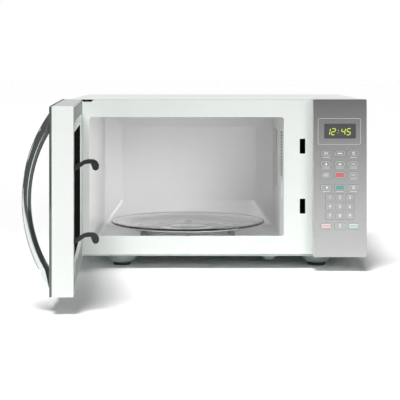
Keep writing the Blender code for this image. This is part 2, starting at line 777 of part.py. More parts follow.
def door_outline(inset, rear):
    """The door frame seen from above: its hinge edge is rounded about the hinge pin."""
    reach = HINGE_FORWARD - DOOR_CLEARANCE - inset
    side = HINGE_INSET - inset
    lift = sqrt(reach * reach - side * side)
    left = BODY_LEFT + inset
    right = DOOR_RIGHT - inset
    start = pi - atan2(lift, side)
    curve = arc((HINGE_X, HINGE_Y), reach, start, pi / 2, 4)
    return [(left, FRAME_FRONT), (right, FRAME_FRONT), (right, rear)], curve


def door_frame(plastic):
    """White moulded frame behind the glass: outer walls, window opening and hinge bosses."""
    rear = -DOOR_CLEARANCE
    corners, curve = door_outline(0.0, rear)
    frame = prism("door_frame", corners + curve[::-1], FRONT_BOTTOM, BODY_TOP, ALONG_Z, plastic)
    inside, inner_curve = door_outline(DOOR_WALL, 0.01)
    front = FRAME_FRONT + DOOR_FRONT_WALL
    inside[0] = (inside[0][0], front)
    inside[1] = (inside[1][0], front)
    step = [(CHOKE_LEFT, 0.01), (CHOKE_LEFT, inner_curve[-1][1])]
    hollow_outline = inside + step + inner_curve[::-1]
    low, high = FRONT_BOTTOM + DOOR_WALL, BODY_TOP - DOOR_WALL
    cut(frame, prism("hollow", hollow_outline, low, high, ALONG_Z, plastic))
    window_low = (BODY_LEFT + WINDOW_MARGIN_X, FRAME_FRONT - 0.01, FRONT_BOTTOM + WINDOW_MARGIN_Z)
    window_high = (DOOR_RIGHT - WINDOW_MARGIN_X, front + 0.005, BODY_TOP - WINDOW_MARGIN_Z)
    cut(frame, block("window", window_low, window_high, plastic))
    boss_side = HINGE_PIN_RADIUS + 0.0045
    depth = HINGE_PIN_LENGTH + 0.004
    spring_top = latch_bar_top() + SPRING_LENGTH + 2 * GAP
    bar_x = HOOK_LEFT + HOOK_THICK / 2
    shelf_low = (bar_x - LATCH_BAR_WIDTH / 2, front - 0.001, spring_top)
    shelf_high = (DOOR_RIGHT - DOOR_WALL / 2, -0.008, spring_top + 0.003)
    join(frame, block("spring_shelf", shelf_low, shelf_high, plastic))
    for top in (True, False):
        face = notch_face(top)
        away = -depth if top else depth
        low, high = sorted((face, face + away))
        boss_low = (BODY_LEFT + DOOR_WALL / 2, front - 0.001, low)
        boss = block("boss", boss_low, (HINGE_X + boss_side, HINGE_Y + boss_side, high), plastic)
        join(frame, boss)
        bore = circle((HINGE_X, HINGE_Y), HINGE_PIN_RADIUS + GAP, 14)
        reach = HINGE_PIN_LENGTH + 0.001
        hole_low = face - (reach if top else 0.01)
        hole_high = face + (0.01 if top else reach)
        notch_low, notch_high = sorted((face, face + (0.02 if top else -0.02)))
        notch_corner = (BODY_LEFT - 0.01, front, notch_low)
        notch = block("notch", notch_corner, (notch_right(), 0.01, notch_high), plastic)
        cut(frame, notch, prism("bore", bore, hole_low, hole_high, ALONG_Z, plastic))
    return frame


def notch_face(top):
    return BODY_TOP - NOTCH_HEIGHT if top else FRONT_BOTTOM + NOTCH_HEIGHT


def notch_right():
    return HINGE_X + HINGE_ARM / 2 + 0.002


def door_glass(glass):
    """Flat front glass over the whole door."""
    outline = rounded(BODY_LEFT, FRONT_BOTTOM, DOOR_RIGHT, BODY_TOP, 0.0015, 2)
    return prism("door_glass", outline, -DOOR_THICK, -DOOR_THICK + GLASS_THICK, ALONG_Y, glass)


def choke_inside():
    """Inner edge of the choke cover: left, bottom, right, top."""
    right = DOOR_RIGHT - DOOR_WALL - GAP - CHOKE_BAND
    left = CHOKE_LEFT + GAP + CHOKE_BAND
    return left, FRONT_BOTTOM + DOOR_WALL + CHOKE_BAND, right, BODY_TOP - DOOR_WALL - CHOKE_BAND


def choke_cover(plastic):
    """Grey ring that closes the door's inner edge, with two slots for the hooks."""
    left = CHOKE_LEFT + GAP
    right = DOOR_RIGHT - DOOR_WALL - GAP
    low = FRONT_BOTTOM + DOOR_WALL + GAP
    high = BODY_TOP - DOOR_WALL - GAP
    step = notch_right() + GAP
    top, bottom = notch_face(True) - GAP, notch_face(False) + GAP
    outline = [(left, bottom), (step, bottom), (step, low), (right, low)]
    outline += [(right, high), (step, high), (step, top), (left, top)]
    holes = [rounded(*choke_inside(), 0.003, 2)]
    for centre in SLOT_CENTRES:
        low_edge = centre - 0.0105
        high_edge = centre + 0.0005 + HOOK_TRAVEL
        slot_left = HOOK_LEFT - 0.001
        slot_right = HOOK_LEFT + HOOK_THICK + 0.001
        corners = (
            (slot_left, low_edge),
            (slot_right, low_edge),
            (slot_right, high_edge),
            (slot_left, high_edge),
        )
        holes.append(list(corners))
    rear = -DOOR_CLEARANCE
    return plate("choke_cover", outline, holes, rear - CHOKE_THICK, rear, ALONG_Y, plastic)


def screen_rings(back):
    """The pressed screen plate from the middle of its window to its outer flange."""
    left, low, right, high = choke_inside()
    t = SCREEN_SHEET if back else 0.0
    face = -DOOR_CLEARANCE - 0.0004 - t
    deep = face - SCREEN_RAISE
    rings = []
    slant = sqrt(SCREEN_SLOPE * SCREEN_SLOPE + SCREEN_RECESS * SCREEN_RECESS)
    band = SCREEN_BAND - t * (slant - SCREEN_SLOPE) / SCREEN_RECESS
    for inset, y in (
        (band + SCREEN_SLOPE, face - SCREEN_RECESS),
        (band, face),
        (GAP + t, face),
        (GAP + t, deep),
        (-SCREEN_TUCK, deep),
    ):
        outline = rounded(left + inset, low + inset, right - inset, high - inset, 0.003, 3)
        rings.append([(x, y, z) for x, z in outline])
    return rings


def door_screen(steel):
    """Painted steel sheet: raised band, recessed window of the wave screen, and outer flange."""
    return skin("door_screen", screen_rings(False) + screen_rings(True)[::-1], steel)


def bow(chord, sagitta, steps):
    """Points of a shallow arc in (distance from the door, height from its middle)."""
    radius = (chord * chord / 4 + sagitta * sagitta) / (2 * sagitta)
    middle = radius - sagitta
    half = atan2(chord / 2, middle)
    return [(d - middle, h) for d, h in arc((0.0, 0.0), radius, -half, half, steps)]


def door_handle(chrome):
    """Bowed chrome bar, a crescent seen from the side, with both ends on the glass."""
    base = -DOOR_THICK - GAP
    height = (FRONT_BOTTOM + BODY_TOP) / 2
    outer = bow(HANDLE_CHORD, HANDLE_SAGITTA, 24)
    inner = bow(HANDLE_INNER_CHORD, HANDLE_INNER_SAGITTA, 20)
    outline = [(base - d, height + h) for d, h in outer + inner[::-1]]
    right = DOOR_RIGHT - HANDLE_FROM_EDGE
    return prism("door_handle", outline, right - HANDLE_WIDTH, right, ALONG_X, chrome, smooth=True)


def latch_bar_top():
    return SLOT_CENTRES[1] + LATCH_BAR_REACH


def hook_outline(centre):
    """Side view of one hook: an arm that rises a little and a round head that hangs down."""
    back = -DOOR_CLEARANCE - LATCH_BAR_FRONT
    head = (0.0280, centre - 0.0045)
    outline = [(back, centre - 0.0115), (0.002, centre - 0.0085)]
    outline += [(0.014, centre - 0.0005), (0.0215, centre + 0.0003)]
    outline += arc(head, 0.0047, pi, 2 * pi, 6)
    outline += [(0.0327, centre - 0.001), (0.030, centre + 0.0035), (0.026, centre + 0.0058)]
    outline += [(0.018, centre + 0.0062), (0.012, centre + 0.0045), (0.002, centre - 0.0015)]
    outline += [(back, centre - 0.004)]
    return outline


def latch_hooks(plastic):
    """One sliding bar in the door's edge that carries both hooks."""
    x = HOOK_LEFT + HOOK_THICK / 2
    half = LATCH_BAR_WIDTH / 2
    rear = -DOOR_CLEARANCE - LATCH_BAR_FRONT + 0.002
    low = SLOT_CENTRES[0] - LATCH_BAR_REACH
    front = rear - LATCH_BAR_THICK
    bar = block("latch_hooks", (x - half, front, low), (x + half, rear, latch_bar_top()), plastic)
    for centre in SLOT_CENTRES:
        side = hook_outline(centre)
        join(bar, prism("hook", side, HOOK_LEFT, HOOK_LEFT + HOOK_THICK, ALONG_X, plastic, smooth=True))
    return bar


def latch_spring(steel):
    """Small coil above the latch bar that pushes it down."""
    x = HOOK_LEFT + HOOK_THICK / 2
    y = -DOOR_CLEARANCE - LATCH_BAR_FRONT + 0.002 - LATCH_BAR_THICK / 2
    low = latch_bar_top() + GAP + SPRING_WIRE
    rise = SPRING_LENGTH - 2 * SPRING_WIRE
    steps = SPRING_TURNS * 10
    rings = []
    for i in range(steps + 1):
        turn = 2 * pi * i / 10
        out = Vector((cos(turn), sin(turn), 0.0))
        centre = Vector((x, y, low + rise * i / steps)) + out * SPRING_RADIUS
        across = out * SPRING_WIRE
        up = Vector((0, 0, SPRING_WIRE))
        rings.append([centre + across * cos(a) + up * sin(a) for a in ring_angles(6)])
    return skin("latch_spring", rings, steel, smooth=True)


def ring_angles(count):
    return [2 * pi * i / count for i in range(count)]


def hinge(name, top, steel):
    """Bracket behind the front plate, an arm through its slot and the pin the door turns on."""
    half = HINGE_ARM / 2
    near = PIN_LEVEL - HINGE_SHEET if top else FRONT_BOTTOM + HINGE_DROP
    arm_low, arm_high = near, near + HINGE_SHEET
    tip = HINGE_Y - half
    rear = BEHIND_PLATE + HINGE_SHEET
    arm = block(name, (HINGE_X - half, HINGE_Y, arm_low), (HINGE_X + half, rear, arm_high), steel)
    nose = prism("nose", circle((HINGE_X, HINGE_Y), half, 16), arm_low, arm_high, ALONG_Z, steel)
    leg_low, leg_high = (arm_high - HINGE_LEG, arm_high) if top else (arm_low, arm_low + HINGE_LEG)
    right = HINGE_X + half
    leg = block("leg", (HINGE_X - half, BEHIND_PLATE, leg_low), (right, rear, leg_high), steel)
    pin_low = near - HINGE_PIN_LENGTH if top else arm_high - 0.001
    pin_high = arm_low + 0.001 if top else arm_high + HINGE_PIN_LENGTH
    pin = prism("pin", circle((HINGE_X, HINGE_Y), HINGE_PIN_RADIUS, 14), pin_low, pin_high, ALONG_Z, steel)
    return join(arm, nose, leg, pin)


# Machine room


def interlock_bracket(plastic):
    """Plastic frame behind the latch slots, with a ledge and a switch under each hook."""
    wall = SLOT_LEFT + SLOT_WIDTH + 0.002
    front = BEHIND_PLATE
    low = SLOT_CENTRES[0] - 0.028
    high = SLOT_CENTRES[1] + 0.024
    frame = block("interlock_bracket", (wall, front, low), (wall + 0.003, front + 0.044, high), plastic)
    foot = block("foot", (wall, front, low), (wall + 0.020, front + 0.003, high), plastic)
    join(frame, foot)
    for centre in SLOT_CENTRES:
        ledge_top = centre - 0.0125
        ledge_low = (SLOT_LEFT - 0.004, front + 0.004, ledge_top - 0.003)
        ledge = block("ledge", ledge_low, (wall + 0.001, front + 0.040, ledge_top), plastic)
        switch_low = (wall + 0.002, front + 0.006, centre - 0.015)
        switch = block("switch", switch_low, (wall + 0.012, front + 0.034, centre + 0.002), plastic)
        join(frame, ledge, switch)
    return frame


def magnetron(steel):
    """Microwave tube in its cooling box, with its antenna in the wave guide."""
    wide, deep, tall = MAGNETRON_SIZE
    left = CAVITY_RIGHT + LINER_SHEET + GUIDE_WIDTH + GAP
    y = GUIDE_FRONT + GUIDE_LENGTH / 2
    z = GUIDE_BOTTOM + GUIDE_HEIGHT / 2
    near, far = (left, y - deep / 2, z - tall / 2), (left + wide, y + deep / 2, z + tall / 2)
    box = block("magnetron", near, far, steel)
    antenna = circle((y, z), ANTENNA_RADIUS, 16)
    reach = 0.018
    join(box, prism("antenna", antenna, left - reach, left + 0.002, ALONG_X, steel))
    for i in range(6):
        low = z - tall / 2 + 0.014 + i * 0.009
        slot_low = (left + 0.012, y - deep, low)
        slot = block("air_slot", slot_low, (left + wide - 0.012, y + deep, low + 0.005), steel)
        cut(box, slot)
    return box


def transformer(steel):
    """High-voltage transformer on the base: iron core with its windings."""
    wide, deep, tall = TRANSFORMER_SIZE
    left = CAVITY_RIGHT + 0.022
    front = GUIDE_FRONT - 0.010
    low = PAN_TOP + GAP
    core_low = (left, front + 0.014, low)
    core = block("transformer", core_low, (left + wide, front + deep - 0.014, low + tall), steel)
    coil_low = (left + 0.014, front, low + 0.012)
    coil = block("coil", coil_low, (left + wide - 0.014, front + deep, low + tall - 0.012), steel)
    return join(core, coil)


def capacitor(aluminium):
    """High-voltage capacitor: an oval can with two terminals."""
    wide, deep, tall = CAPACITOR_SIZE
    x, y = CAVITY_RIGHT + 0.064, 0.150
    low = PAN_TOP + GAP
    half = deep / 2
    outline = arc((x + wide / 2 - half, y), half, -pi / 2, pi / 2, 8)
    outline += arc((x - wide / 2 + half, y), half, pi / 2, 3 * pi / 2, 8)
    can = prism("capacitor", outline, low, low + tall, ALONG_Z, aluminium, smooth=True)
    for side in (-1, 1):
        tab_x = x + side * 0.011
        tab_low = (tab_x - 0.003, y - 0.0005, low + tall - 0.001)
        join(can, block("tab", tab_low, (tab_x + 0.003, y + 0.0005, low + tall + 0.010), aluminium))
    return can


def fan_front():
    return BACK_FRONT - 0.034


def fan_motor(steel):
    """Shaded-pole motor in front of the fan, on two long feet to the rear panel."""
    x, z = FAN_CENTRE
    half = FAN_MOTOR_SIZE / 2
    rear = fan_front() - 0.001
    front = rear - 0.020
    core = block("fan_motor", (x - half, front, z - half), (x + half, rear, z + half), steel)
    shaft = prism("shaft", circle((x, z), 0.002, 10), rear - 0.001, rear + 0.018, ALONG_Y, steel)
    join(core, shaft)
    arm = FAN_RADIUS + 0.008
    for side in (-1, 1):
        inner, outer = sorted((x + side * (half - 0.002), x + side * arm))
        post_low, post_high = sorted((x + side * (arm - 0.004), x + side * arm))
        spoke = block("spoke", (inner, rear - 0.003, z - 0.004), (outer, rear, z + 0.004), steel)
        low, high = (post_low, rear - 0.003, z - 0.004), (post_high, BACK_FRONT - GAP, z + 0.004)
        post = block("post", low, high, steel)
        join(core, spoke, post)
    return core


def fan_blade(plastic):
    """Five pitched blades on a hub, turning on the motor's shaft."""
    x, z = FAN_CENTRE
    front = fan_front()
    depth = 0.022
    hub_rings = [
        [(x + u, y, z + v) for u, v in circle((0, 0), r, 18)]
        for r, y in ((0.0023, front), (0.012, front), (0.012, front + depth), (0.0023, front + depth))
    ]
    hub = skin("fan_blade", hub_rings, plastic, closed=True, smooth=True)
    for i in range(5):
        blade = block("blade", (-0.0008, -0.013, 0.010), (0.0008, 0.013, FAN_RADIUS), plastic)
        blade.data.transform(Matrix.Rotation(radians(50), 4, "Z"))
        blade.data.transform(Matrix.Rotation(radians(72 * i), 4, "Y"))
        blade.data.transform(Matrix.Translation((x, front + depth / 2, z)))
        join(hub, blade)
    return hub


def centre_on_floor(root):
    """Moves the assembly so that the origin is the middle of its footprint, at floor level."""
    bpy.context.view_layer.update()
    corners = []
    for piece in bpy.data.objects:
        if piece.type == "MESH":
            corners += [piece.matrix_world @ vertex.co for vertex in piece.data.vertices]
    low = [min(corner[i] for corner in corners) for i in range(3)]
    high = [max(corner[i] for corner in corners) for i in range(3)]
    root.location = (-(low[0] + high[0]) / 2, -(low[1] + high[1]) / 2, -low[2])
    bpy.context.view_layer.update()


def build():
    clear_scene()
    white_paint = material("white_paint", (0.84, 0.87, 0.84), 0.35)
    enamel = material("cavity_enamel", (0.62, 0.63, 0.62), 0.4)
    white_plastic = material("white_plastic", (0.84, 0.87, 0.85), 0.4)
    silver = material("silver_fascia", (0.42, 0.43, 0.44), 0.35, 0.6)
    silver_key = material("key_pad", (0.45, 0.46, 0.47), 0.4, 0.5)
    grey_plastic = material("choke_plastic", (0.30, 0.32, 0.31), 0.5)
    black_plastic = material("black_plastic", (0.03, 0.03, 0.03), 0.4)
    dark_glass = material("door_glass", (0.14, 0.15, 0.15), 0.08)
    tray_glass = material("tray_glass", (0.75, 0.78, 0.78), 0.05)
    lens_glass = material("display_glass", (0.08, 0.09, 0.08), 0.1)
    chrome = material("chrome", (0.75, 0.75, 0.76), 0.08, 1.0)
    zinc = material("zinc_steel", (0.55, 0.56, 0.57), 0.35, 1.0)
    rubber = material("rubber", (0.03, 0.03, 0.03), 0.8)
    mica = material("mica", (0.50, 0.50, 0.47), 0.5)
    board_green = material("circuit_board", (0.05, 0.20, 0.10), 0.5)

    root = empty("oven_origin", (0.0, 0.0, 0.0))
    fixed = [
        outer_case(white_paint),
        front_plate(white_paint),
        back_panel(zinc),
        base_plate(zinc),
        cord_gland(black_plastic),
        cavity_liner(enamel),
        waveguide_cover(mica),
        cavity_lamp(lens_glass),
        panel_housing(white_plastic),
        panel_fascia(silver),
        display_lens(lens_glass),
        control_board(board_green),
        hinge("hinge_upper", True, zinc),
        hinge("hinge_lower", False, zinc),
        interlock_bracket(white_plastic),
        magnetron(zinc),
        transformer(zinc),
        capacitor(zinc),
        fan_motor(zinc),
    ]
    front_feet = foot_places()[:2]
    fixed.append(foot_pad("foot_front_left", front_feet[0], rubber))
    fixed.append(foot_pad("foot_front_right", front_feet[1], rubber))
    for piece in fixed:
        piece.parent = root

    pivot_at(fan_blade(black_plastic), (FAN_CENTRE[0], fan_front(), FAN_CENTRE[1]), root)
    for name, across, down, size in key_places():
        place = (PANEL_LEFT + across, -DOOR_THICK, BODY_TOP - down)
        pivot_at(key_pad(name, across, down, size, silver_key), place, root)

    axis = empty("turntable_axis", (CAVITY_MIDDLE, TURNTABLE_DEPTH, 0.0), root)
    motor = turntable_motor(zinc)
    ring = roller_ring(white_plastic)
    for piece in (turntable_tray(tray_glass), drive_coupler(white_plastic), motor, ring):
        piece.parent = axis
    for i in range(3):
        wheel = roller_wheel(i, white_plastic)
        turn = wheel_turn(i)
        wheel.location = (WHEEL_TRACK * cos(turn), WHEEL_TRACK * sin(turn), WHEEL_HEIGHT)
        wheel.rotation_euler = (0.0, 0.0, turn)
        wheel.parent = ring

    pin = (HINGE_X, HINGE_Y, 0.0)
    door = empty("door_hinge", pin, root)
    door.rotation_euler = (0.0, 0.0, -DOOR_OPEN)
    for piece in (
        door_frame(white_plastic),
        door_glass(dark_glass),
        door_screen(white_paint),
        choke_cover(grey_plastic),
        door_handle(chrome),
        latch_hooks(black_plastic),
        latch_spring(zinc),
    ):
        pivot_at(piece, pin, door, pin)
    centre_on_floor(root)


build()
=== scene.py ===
# %% [markdown]
# # A countertop microwave oven
#
# This lesson dresses the working model of a microwave oven: painted steel, enamel, chrome,
# glass and printed film. The working model gives every place and size. A piece whose shape
# is already right only gets a better finish, and a piece that needs rounder edges or finer
# detail is built again here and stands in for the plain one.

# %% Load the working model
import json
from math import cos, pi, radians, sin, sqrt

import bmesh
import bpy
from mathutils import Matrix, Vector
from mathutils.geometry import tessellate_polygon


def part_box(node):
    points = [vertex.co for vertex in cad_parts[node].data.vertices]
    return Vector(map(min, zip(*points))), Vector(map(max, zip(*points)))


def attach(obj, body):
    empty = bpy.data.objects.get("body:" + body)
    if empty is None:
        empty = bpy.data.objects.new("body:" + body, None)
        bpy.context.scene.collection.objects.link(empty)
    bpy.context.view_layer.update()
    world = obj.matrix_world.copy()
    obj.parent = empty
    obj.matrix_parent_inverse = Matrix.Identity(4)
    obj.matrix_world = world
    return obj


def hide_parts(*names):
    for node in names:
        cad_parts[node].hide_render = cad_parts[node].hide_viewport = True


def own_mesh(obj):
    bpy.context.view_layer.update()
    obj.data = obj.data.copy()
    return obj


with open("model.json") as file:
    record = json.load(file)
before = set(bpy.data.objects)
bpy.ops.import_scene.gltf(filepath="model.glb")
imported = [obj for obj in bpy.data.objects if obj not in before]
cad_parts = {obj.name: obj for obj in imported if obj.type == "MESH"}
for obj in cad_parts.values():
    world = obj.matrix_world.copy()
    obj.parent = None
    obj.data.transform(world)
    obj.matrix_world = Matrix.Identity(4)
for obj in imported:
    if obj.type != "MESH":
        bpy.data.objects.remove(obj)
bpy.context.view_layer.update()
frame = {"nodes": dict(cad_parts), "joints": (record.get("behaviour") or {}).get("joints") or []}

# %% [markdown]
# ## Building surfaces
#
# Nearly every part of an appliance is a folded sheet, a moulding or a turned piece. All of
# them can be made by running a surface through rings of points, or by filling an outline
# that has holes. Two small builders cover both, and they close the surface, so that it is a
# solid with real thickness.

# %% Builders for closed surfaces
ALONG_X = (1, 2, 0)
ALONG_Y = (0, 2, 1)
ALONG_Z = (0, 1, 2)


def solid(name, points, faces, finish, crease=35.0):
    """A closed mesh with its faces pointing out, smooth except at edges sharper than crease."""
    mesh = bpy.data.meshes.new(name)
    mesh.from_pydata(points, [], faces)
    shape = bmesh.new()
    shape.from_mesh(mesh)
    bmesh.ops.remove_doubles(shape, verts=shape.verts, dist=1e-7)
    bmesh.ops.recalc_face_normals(shape, faces=shape.faces)
    shape.to_mesh(mesh)
    shape.free()
    mesh.materials.append(finish)
    mesh.shade_smooth()
    mesh.set_sharp_from_angle(angle=radians(crease))
    made = bpy.data.objects.new(name, mesh)
    bpy.context.scene.collection.objects.link(made)
    return made


def skin(name, rings, finish, closed=False, crease=35.0):
    """A surface through rings of equal length: both ends capped, or closed on itself."""
    count = len(rings[0])
    points = [point for ring in rings for point in ring]
    spans = len(rings) if closed else len(rings) - 1
    faces = []
    for span in range(spans):
        near = span * count
        far = (span + 1) % len(rings) * count
        faces += [(near + i, near + (i + 1) % count, far + (i + 1) % count, far + i) for i in range(count)]
    if not closed:
        faces.append(tuple(range(count)))
        faces.append(tuple(range(len(points) - count, len(points))))
    return solid(name, points, faces, finish, crease)


def put(u, v, w, axes):
    """A point from two coordinates in a plane and one across it."""
    point = [0.0, 0.0, 0.0]
    point[axes[0]], point[axes[1]], point[axes[2]] = u, v, w
    return point


def prism(name, outline, low, high, axes, finish, crease=35.0):
    """An outline pulled straight from low to high."""
    rings = [[put(u, v, w, axes) for u, v in outline] for w in (low, high)]
    return skin(name, rings, finish, crease=crease)


def plate(name, outline, holes, low, high, axes, finish):
    """A flat plate with through holes."""
    loops = [outline] + holes
    flat = [point for loop in loops for point in loop]
    triangles = tessellate_polygon([[Vector((u, v, 0.0)) for u, v in loop] for loop in loops])
    total = len(flat)
    points = [put(u, v, w, axes) for w in (low, high) for u, v in flat]
    faces = [tuple(face) for face in triangles]
    faces += [tuple(corner + total for corner in reversed(face)) for face in triangles]
    start = 0
    for loop in loops:
        for i in range(len(loop)):
            j = start + (i + 1) % len(loop)
            faces.append((start + i, j, j + total, start + i + total))
        start += len(loop)
    return solid(name, points, faces, finish)


def block(name, low, high, finish):
    outline = [(low[0], low[1]), (high[0], low[1]), (high[0], high[1]), (low[0], high[1])]
    return prism(name, outline, low[2], high[2], ALONG_Z, finish)


def arc(centre, radius, start, end, steps):
    """Points along a round stretch, from the start angle to the end angle."""
    turns = [start + (end - start) * i / steps for i in range(steps + 1)]
    return [(centre[0] + radius * cos(a), centre[1] + radius * sin(a)) for a in turns]


def circle(centre, radius, steps):
    return arc(centre, radius, 0.0, 2 * pi * (steps - 1) / steps, steps - 1)


def rounded(left, bottom, right, top, radius, steps=6):
    """A rectangle with round corners, run anticlockwise."""
    corners = (
        (right - radius, bottom + radius, -pi / 2),
        (right - radius, top - radius, 0.0),
        (left + radius, top - radius, pi / 2),
        (left + radius, bottom + radius, pi),
    )
    return [p for u, v, a in corners for p in arc((u, v), radius, a, a + pi / 2, steps)]


def turned(name, profile, finish, steps=64, closed=False, centre=(0.0, 0.0), crease=35.0):
    """A turned solid about a vertical axis; profile points are (radius, height)."""
    rings = [[(x, y, height) for x, y in circle(centre, radius, steps)] for radius, height in profile]
    return skin(name, rings, finish, closed=closed, crease=crease)


print("builders ready: skin, prism, plate, block and turned")

# %% [markdown]
# ## Soft edges, cuts and fitting
#
# No real edge is perfectly sharp: sheet metal is broken at the shear and a moulding has a
# radius from its tool. A small bevel catches a line of light and makes a piece look made.
# The Bevel modifier could stay on the piece, but applying it at once keeps the final mesh
# plain to see. Where a part of the working model only lacks that bevel, its mesh is copied,
# its triangles are merged back into flat faces, and the copy is bevelled.

# %% Bevel, cut and copy helpers


def bake_modifiers(piece):
    """Turns what the modifiers show into the piece's own mesh."""
    graph = bpy.context.evaluated_depsgraph_get()
    mesh = bpy.data.meshes.new_from_object(piece.evaluated_get(graph))
    piece.modifiers.clear()
    piece.data = mesh
    return piece


def soften(piece, width, segments=2, angle=30.0):
    """Rounds every edge sharper than the angle."""
    step = piece.modifiers.new("soft_edges", "BEVEL")
    step.width = width
    step.segments = segments
    step.limit_method = "ANGLE"
    step.angle_limit = radians(angle)
    step.harden_normals = True
    return bake_modifiers(piece)


def combine(target, tools, operation):
    """Cuts the tools from the target, or joins them to it, and removes the tools."""
    for tool in tools:
        step = target.modifiers.new("shape", "BOOLEAN")
        step.operation = operation
        step.solver = "EXACT"
        step.object = tool
        bake_modifiers(target)
        bpy.data.objects.remove(tool, do_unlink=True)
    return target


def cut(target, *tools):
    return combine(target, tools, "DIFFERENCE")


def join(target, *tools):
    return combine(target, tools, "UNION")


def gather(name, pieces):
    """Several separate solids as one object, for the many small marks of one print."""
    shape = bmesh.new()
    for piece in pieces:
        shape.from_mesh(piece.data)
    mesh = bpy.data.meshes.new(name)
    shape.to_mesh(mesh)
    shape.free()
    mesh.materials.append(pieces[0].data.materials[0])
    made = bpy.data.objects.new(name, mesh)
    bpy.context.scene.collection.objects.link(made)
    for piece in pieces:
        bpy.data.objects.remove(piece, do_unlink=True)
    return made


def merged_copy(node, name, finish, angle=30.0):
    """A copy of a part of the working model with its flat faces merged."""
    shape = bmesh.new()
    shape.from_mesh(frame["nodes"][node].data)
    bmesh.ops.remove_doubles(shape, verts=shape.verts, dist=2e-6)
    edges = [edge for edge in shape.edges if len(edge.link_faces) == 2]
    bmesh.ops.dissolve_limit(shape, angle_limit=radians(1.0), verts=shape.verts, edges=edges)
    mesh = bpy.data.meshes.new(name)
    shape.to_mesh(mesh)
    shape.free()
    mesh.materials.clear()
    mesh.materials.append(finish)
    mesh.shade_smooth()
    mesh.set_sharp_from_angle(angle=radians(angle))
    made = bpy.data.objects.new(name, mesh)
    bpy.context.scene.collection.objects.link(made)
    return made


def twin(node, name, finish, width, segments=2, angle=30.0):
    """The merged copy with its edges rounded."""
    return soften(merged_copy(node, name, finish, angle), width, segments, angle)


def fit(piece, body, slot, *nodes):
    """The piece moves with its group and stands for these plain parts; the slot is not used."""
    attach(piece, body)
    if nodes:
        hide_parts(*nodes)
    return piece


def dress(node, name, finish, width, slot, body="cabinet", segments=2, angle=30.0):
    """A softened copy stands in for a plain part."""
    return fit(twin(node, name, finish, width, segments, angle), body, slot, node)


print("helpers ready: soften, cut, join, gather, twin, fit and dress")

# %% [markdown]
# ## The door's own space
#
# The door is stored standing open. It is much easier to build it closed, flat against the
# oven, and then swing it out by the same turn as the hinge. The hinge's place and its
# range come from the model, so that the two always agree.

# %% The hinge's turn
hinge_joint = next(joint for joint in frame["joints"] if joint["name"] == "door_hinge")
hinge_pin = Vector((hinge_joint["pos_m"][0], hinge_joint["pos_m"][1], 0.0))
door_swing = (
    Matrix.Translation(hinge_pin)
    @ Matrix.Rotation(-radians(hinge_joint["range_deg"][1]), 4, "Z")
    @ Matrix.Translation(-hinge_pin)
)


def closed_box(node):
    """Lowest and highest corner that a part of the door has when the door is shut."""
    back = door_swing.inverted()
    corners = [back @ vertex.co for vertex in frame["nodes"][node].data.vertices]
    low = Vector([min(corner[i] for corner in corners) for i in range(3)])
    high = Vector([max(corner[i] for corner in corners) for i in range(3)])
    return low, high


def swing(piece):
    """Swings a piece that was built on the shut door out to the open door."""
    piece.data.transform(door_swing)
    return piece


print("door opened by", hinge_joint["range_deg"][1], "degrees")

# %% [markdown]
# ## Finishes
#
# One recipe makes most finishes. A large soft noise changes the colour a little, as paint
# and plastic never are one flat colour. A fine noise changes the roughness, and it also
# drives a bump for orange peel in paint or grain in plastic. The coordinates are the
# object's own metres, so a scale of 1000 means features of about a millimetre.

# %% Recipe for a finish
BUMP_TO_STRENGTH = 10


def add_node(tree, kind, **settings):
    """A new shader node with its settings."""
    made = tree.nodes.new(kind)
    for key, value in settings.items():
        setattr(made, key, value)
    return made


def finish(
    name, colour, rough, metal=0.0, vary=0.06, patch=14.0, grain=900.0, bump=0.02,
    coat=0.0, rough_vary=0.08, specular=0.5,
):
    """Paint, plastic or metal with colour clouds, uneven roughness and a fine relief."""
    made = bpy.data.materials.new(name)
    made.use_nodes = True
    tree = made.node_tree
    shader = tree.nodes["Principled BSDF"]
    shader.inputs["Metallic"].default_value = metal
    shader.inputs["Coat Weight"].default_value = coat
    shader.inputs["Coat Roughness"].default_value = 0.08
    shader.inputs["Specular IOR Level"].default_value = specular
    place = add_node(tree, "ShaderNodeTexCoord")
    cloud = add_node(tree, "ShaderNodeTexNoise")
    cloud.inputs["Scale"].default_value = patch
    cloud.inputs["Detail"].default_value = 4.0
    tree.links.new(place.outputs["Object"], cloud.inputs["Vector"])
    ramp = add_node(tree, "ShaderNodeValToRGB")
    ramp.color_ramp.elements[0].position = 0.3
    ramp.color_ramp.elements[1].position = 0.7
    ramp.color_ramp.elements[0].color = (*[c * (1 - vary) for c in colour], 1.0)
    ramp.color_ramp.elements[1].color = (*[min(1.0, c * (1 + vary)) for c in colour], 1.0)
    tree.links.new(cloud.outputs["Fac"], ramp.inputs["Fac"])
    tree.links.new(ramp.outputs["Color"], shader.inputs["Base Color"])
    fine = add_node(tree, "ShaderNodeTexNoise")
    fine.inputs["Scale"].default_value = grain
    fine.inputs["Detail"].default_value = 3.0
    tree.links.new(place.outputs["Object"], fine.inputs["Vector"])
    spread = add_node(tree, "ShaderNodeMapRange")
    spread.inputs["To Min"].default_value = max(0.02, rough - rough_vary)
    spread.inputs["To Max"].default_value = min(1.0, rough + rough_vary)
    tree.links.new(fine.outputs["Fac"], spread.inputs["Value"])
    tree.links.new(spread.outputs["Result"], shader.inputs["Roughness"])
    relief = add_node(tree, "ShaderNodeBump")
    relief.inputs["Strength"].default_value = min(1.0, bump * BUMP_TO_STRENGTH)
    relief.inputs["Distance"].default_value = 0.0001
    tree.links.new(fine.outputs["Fac"], relief.inputs["Height"])
    tree.links.new(relief.outputs["Normal"], shader.inputs["Normal"])
    return made


print("recipe ready")
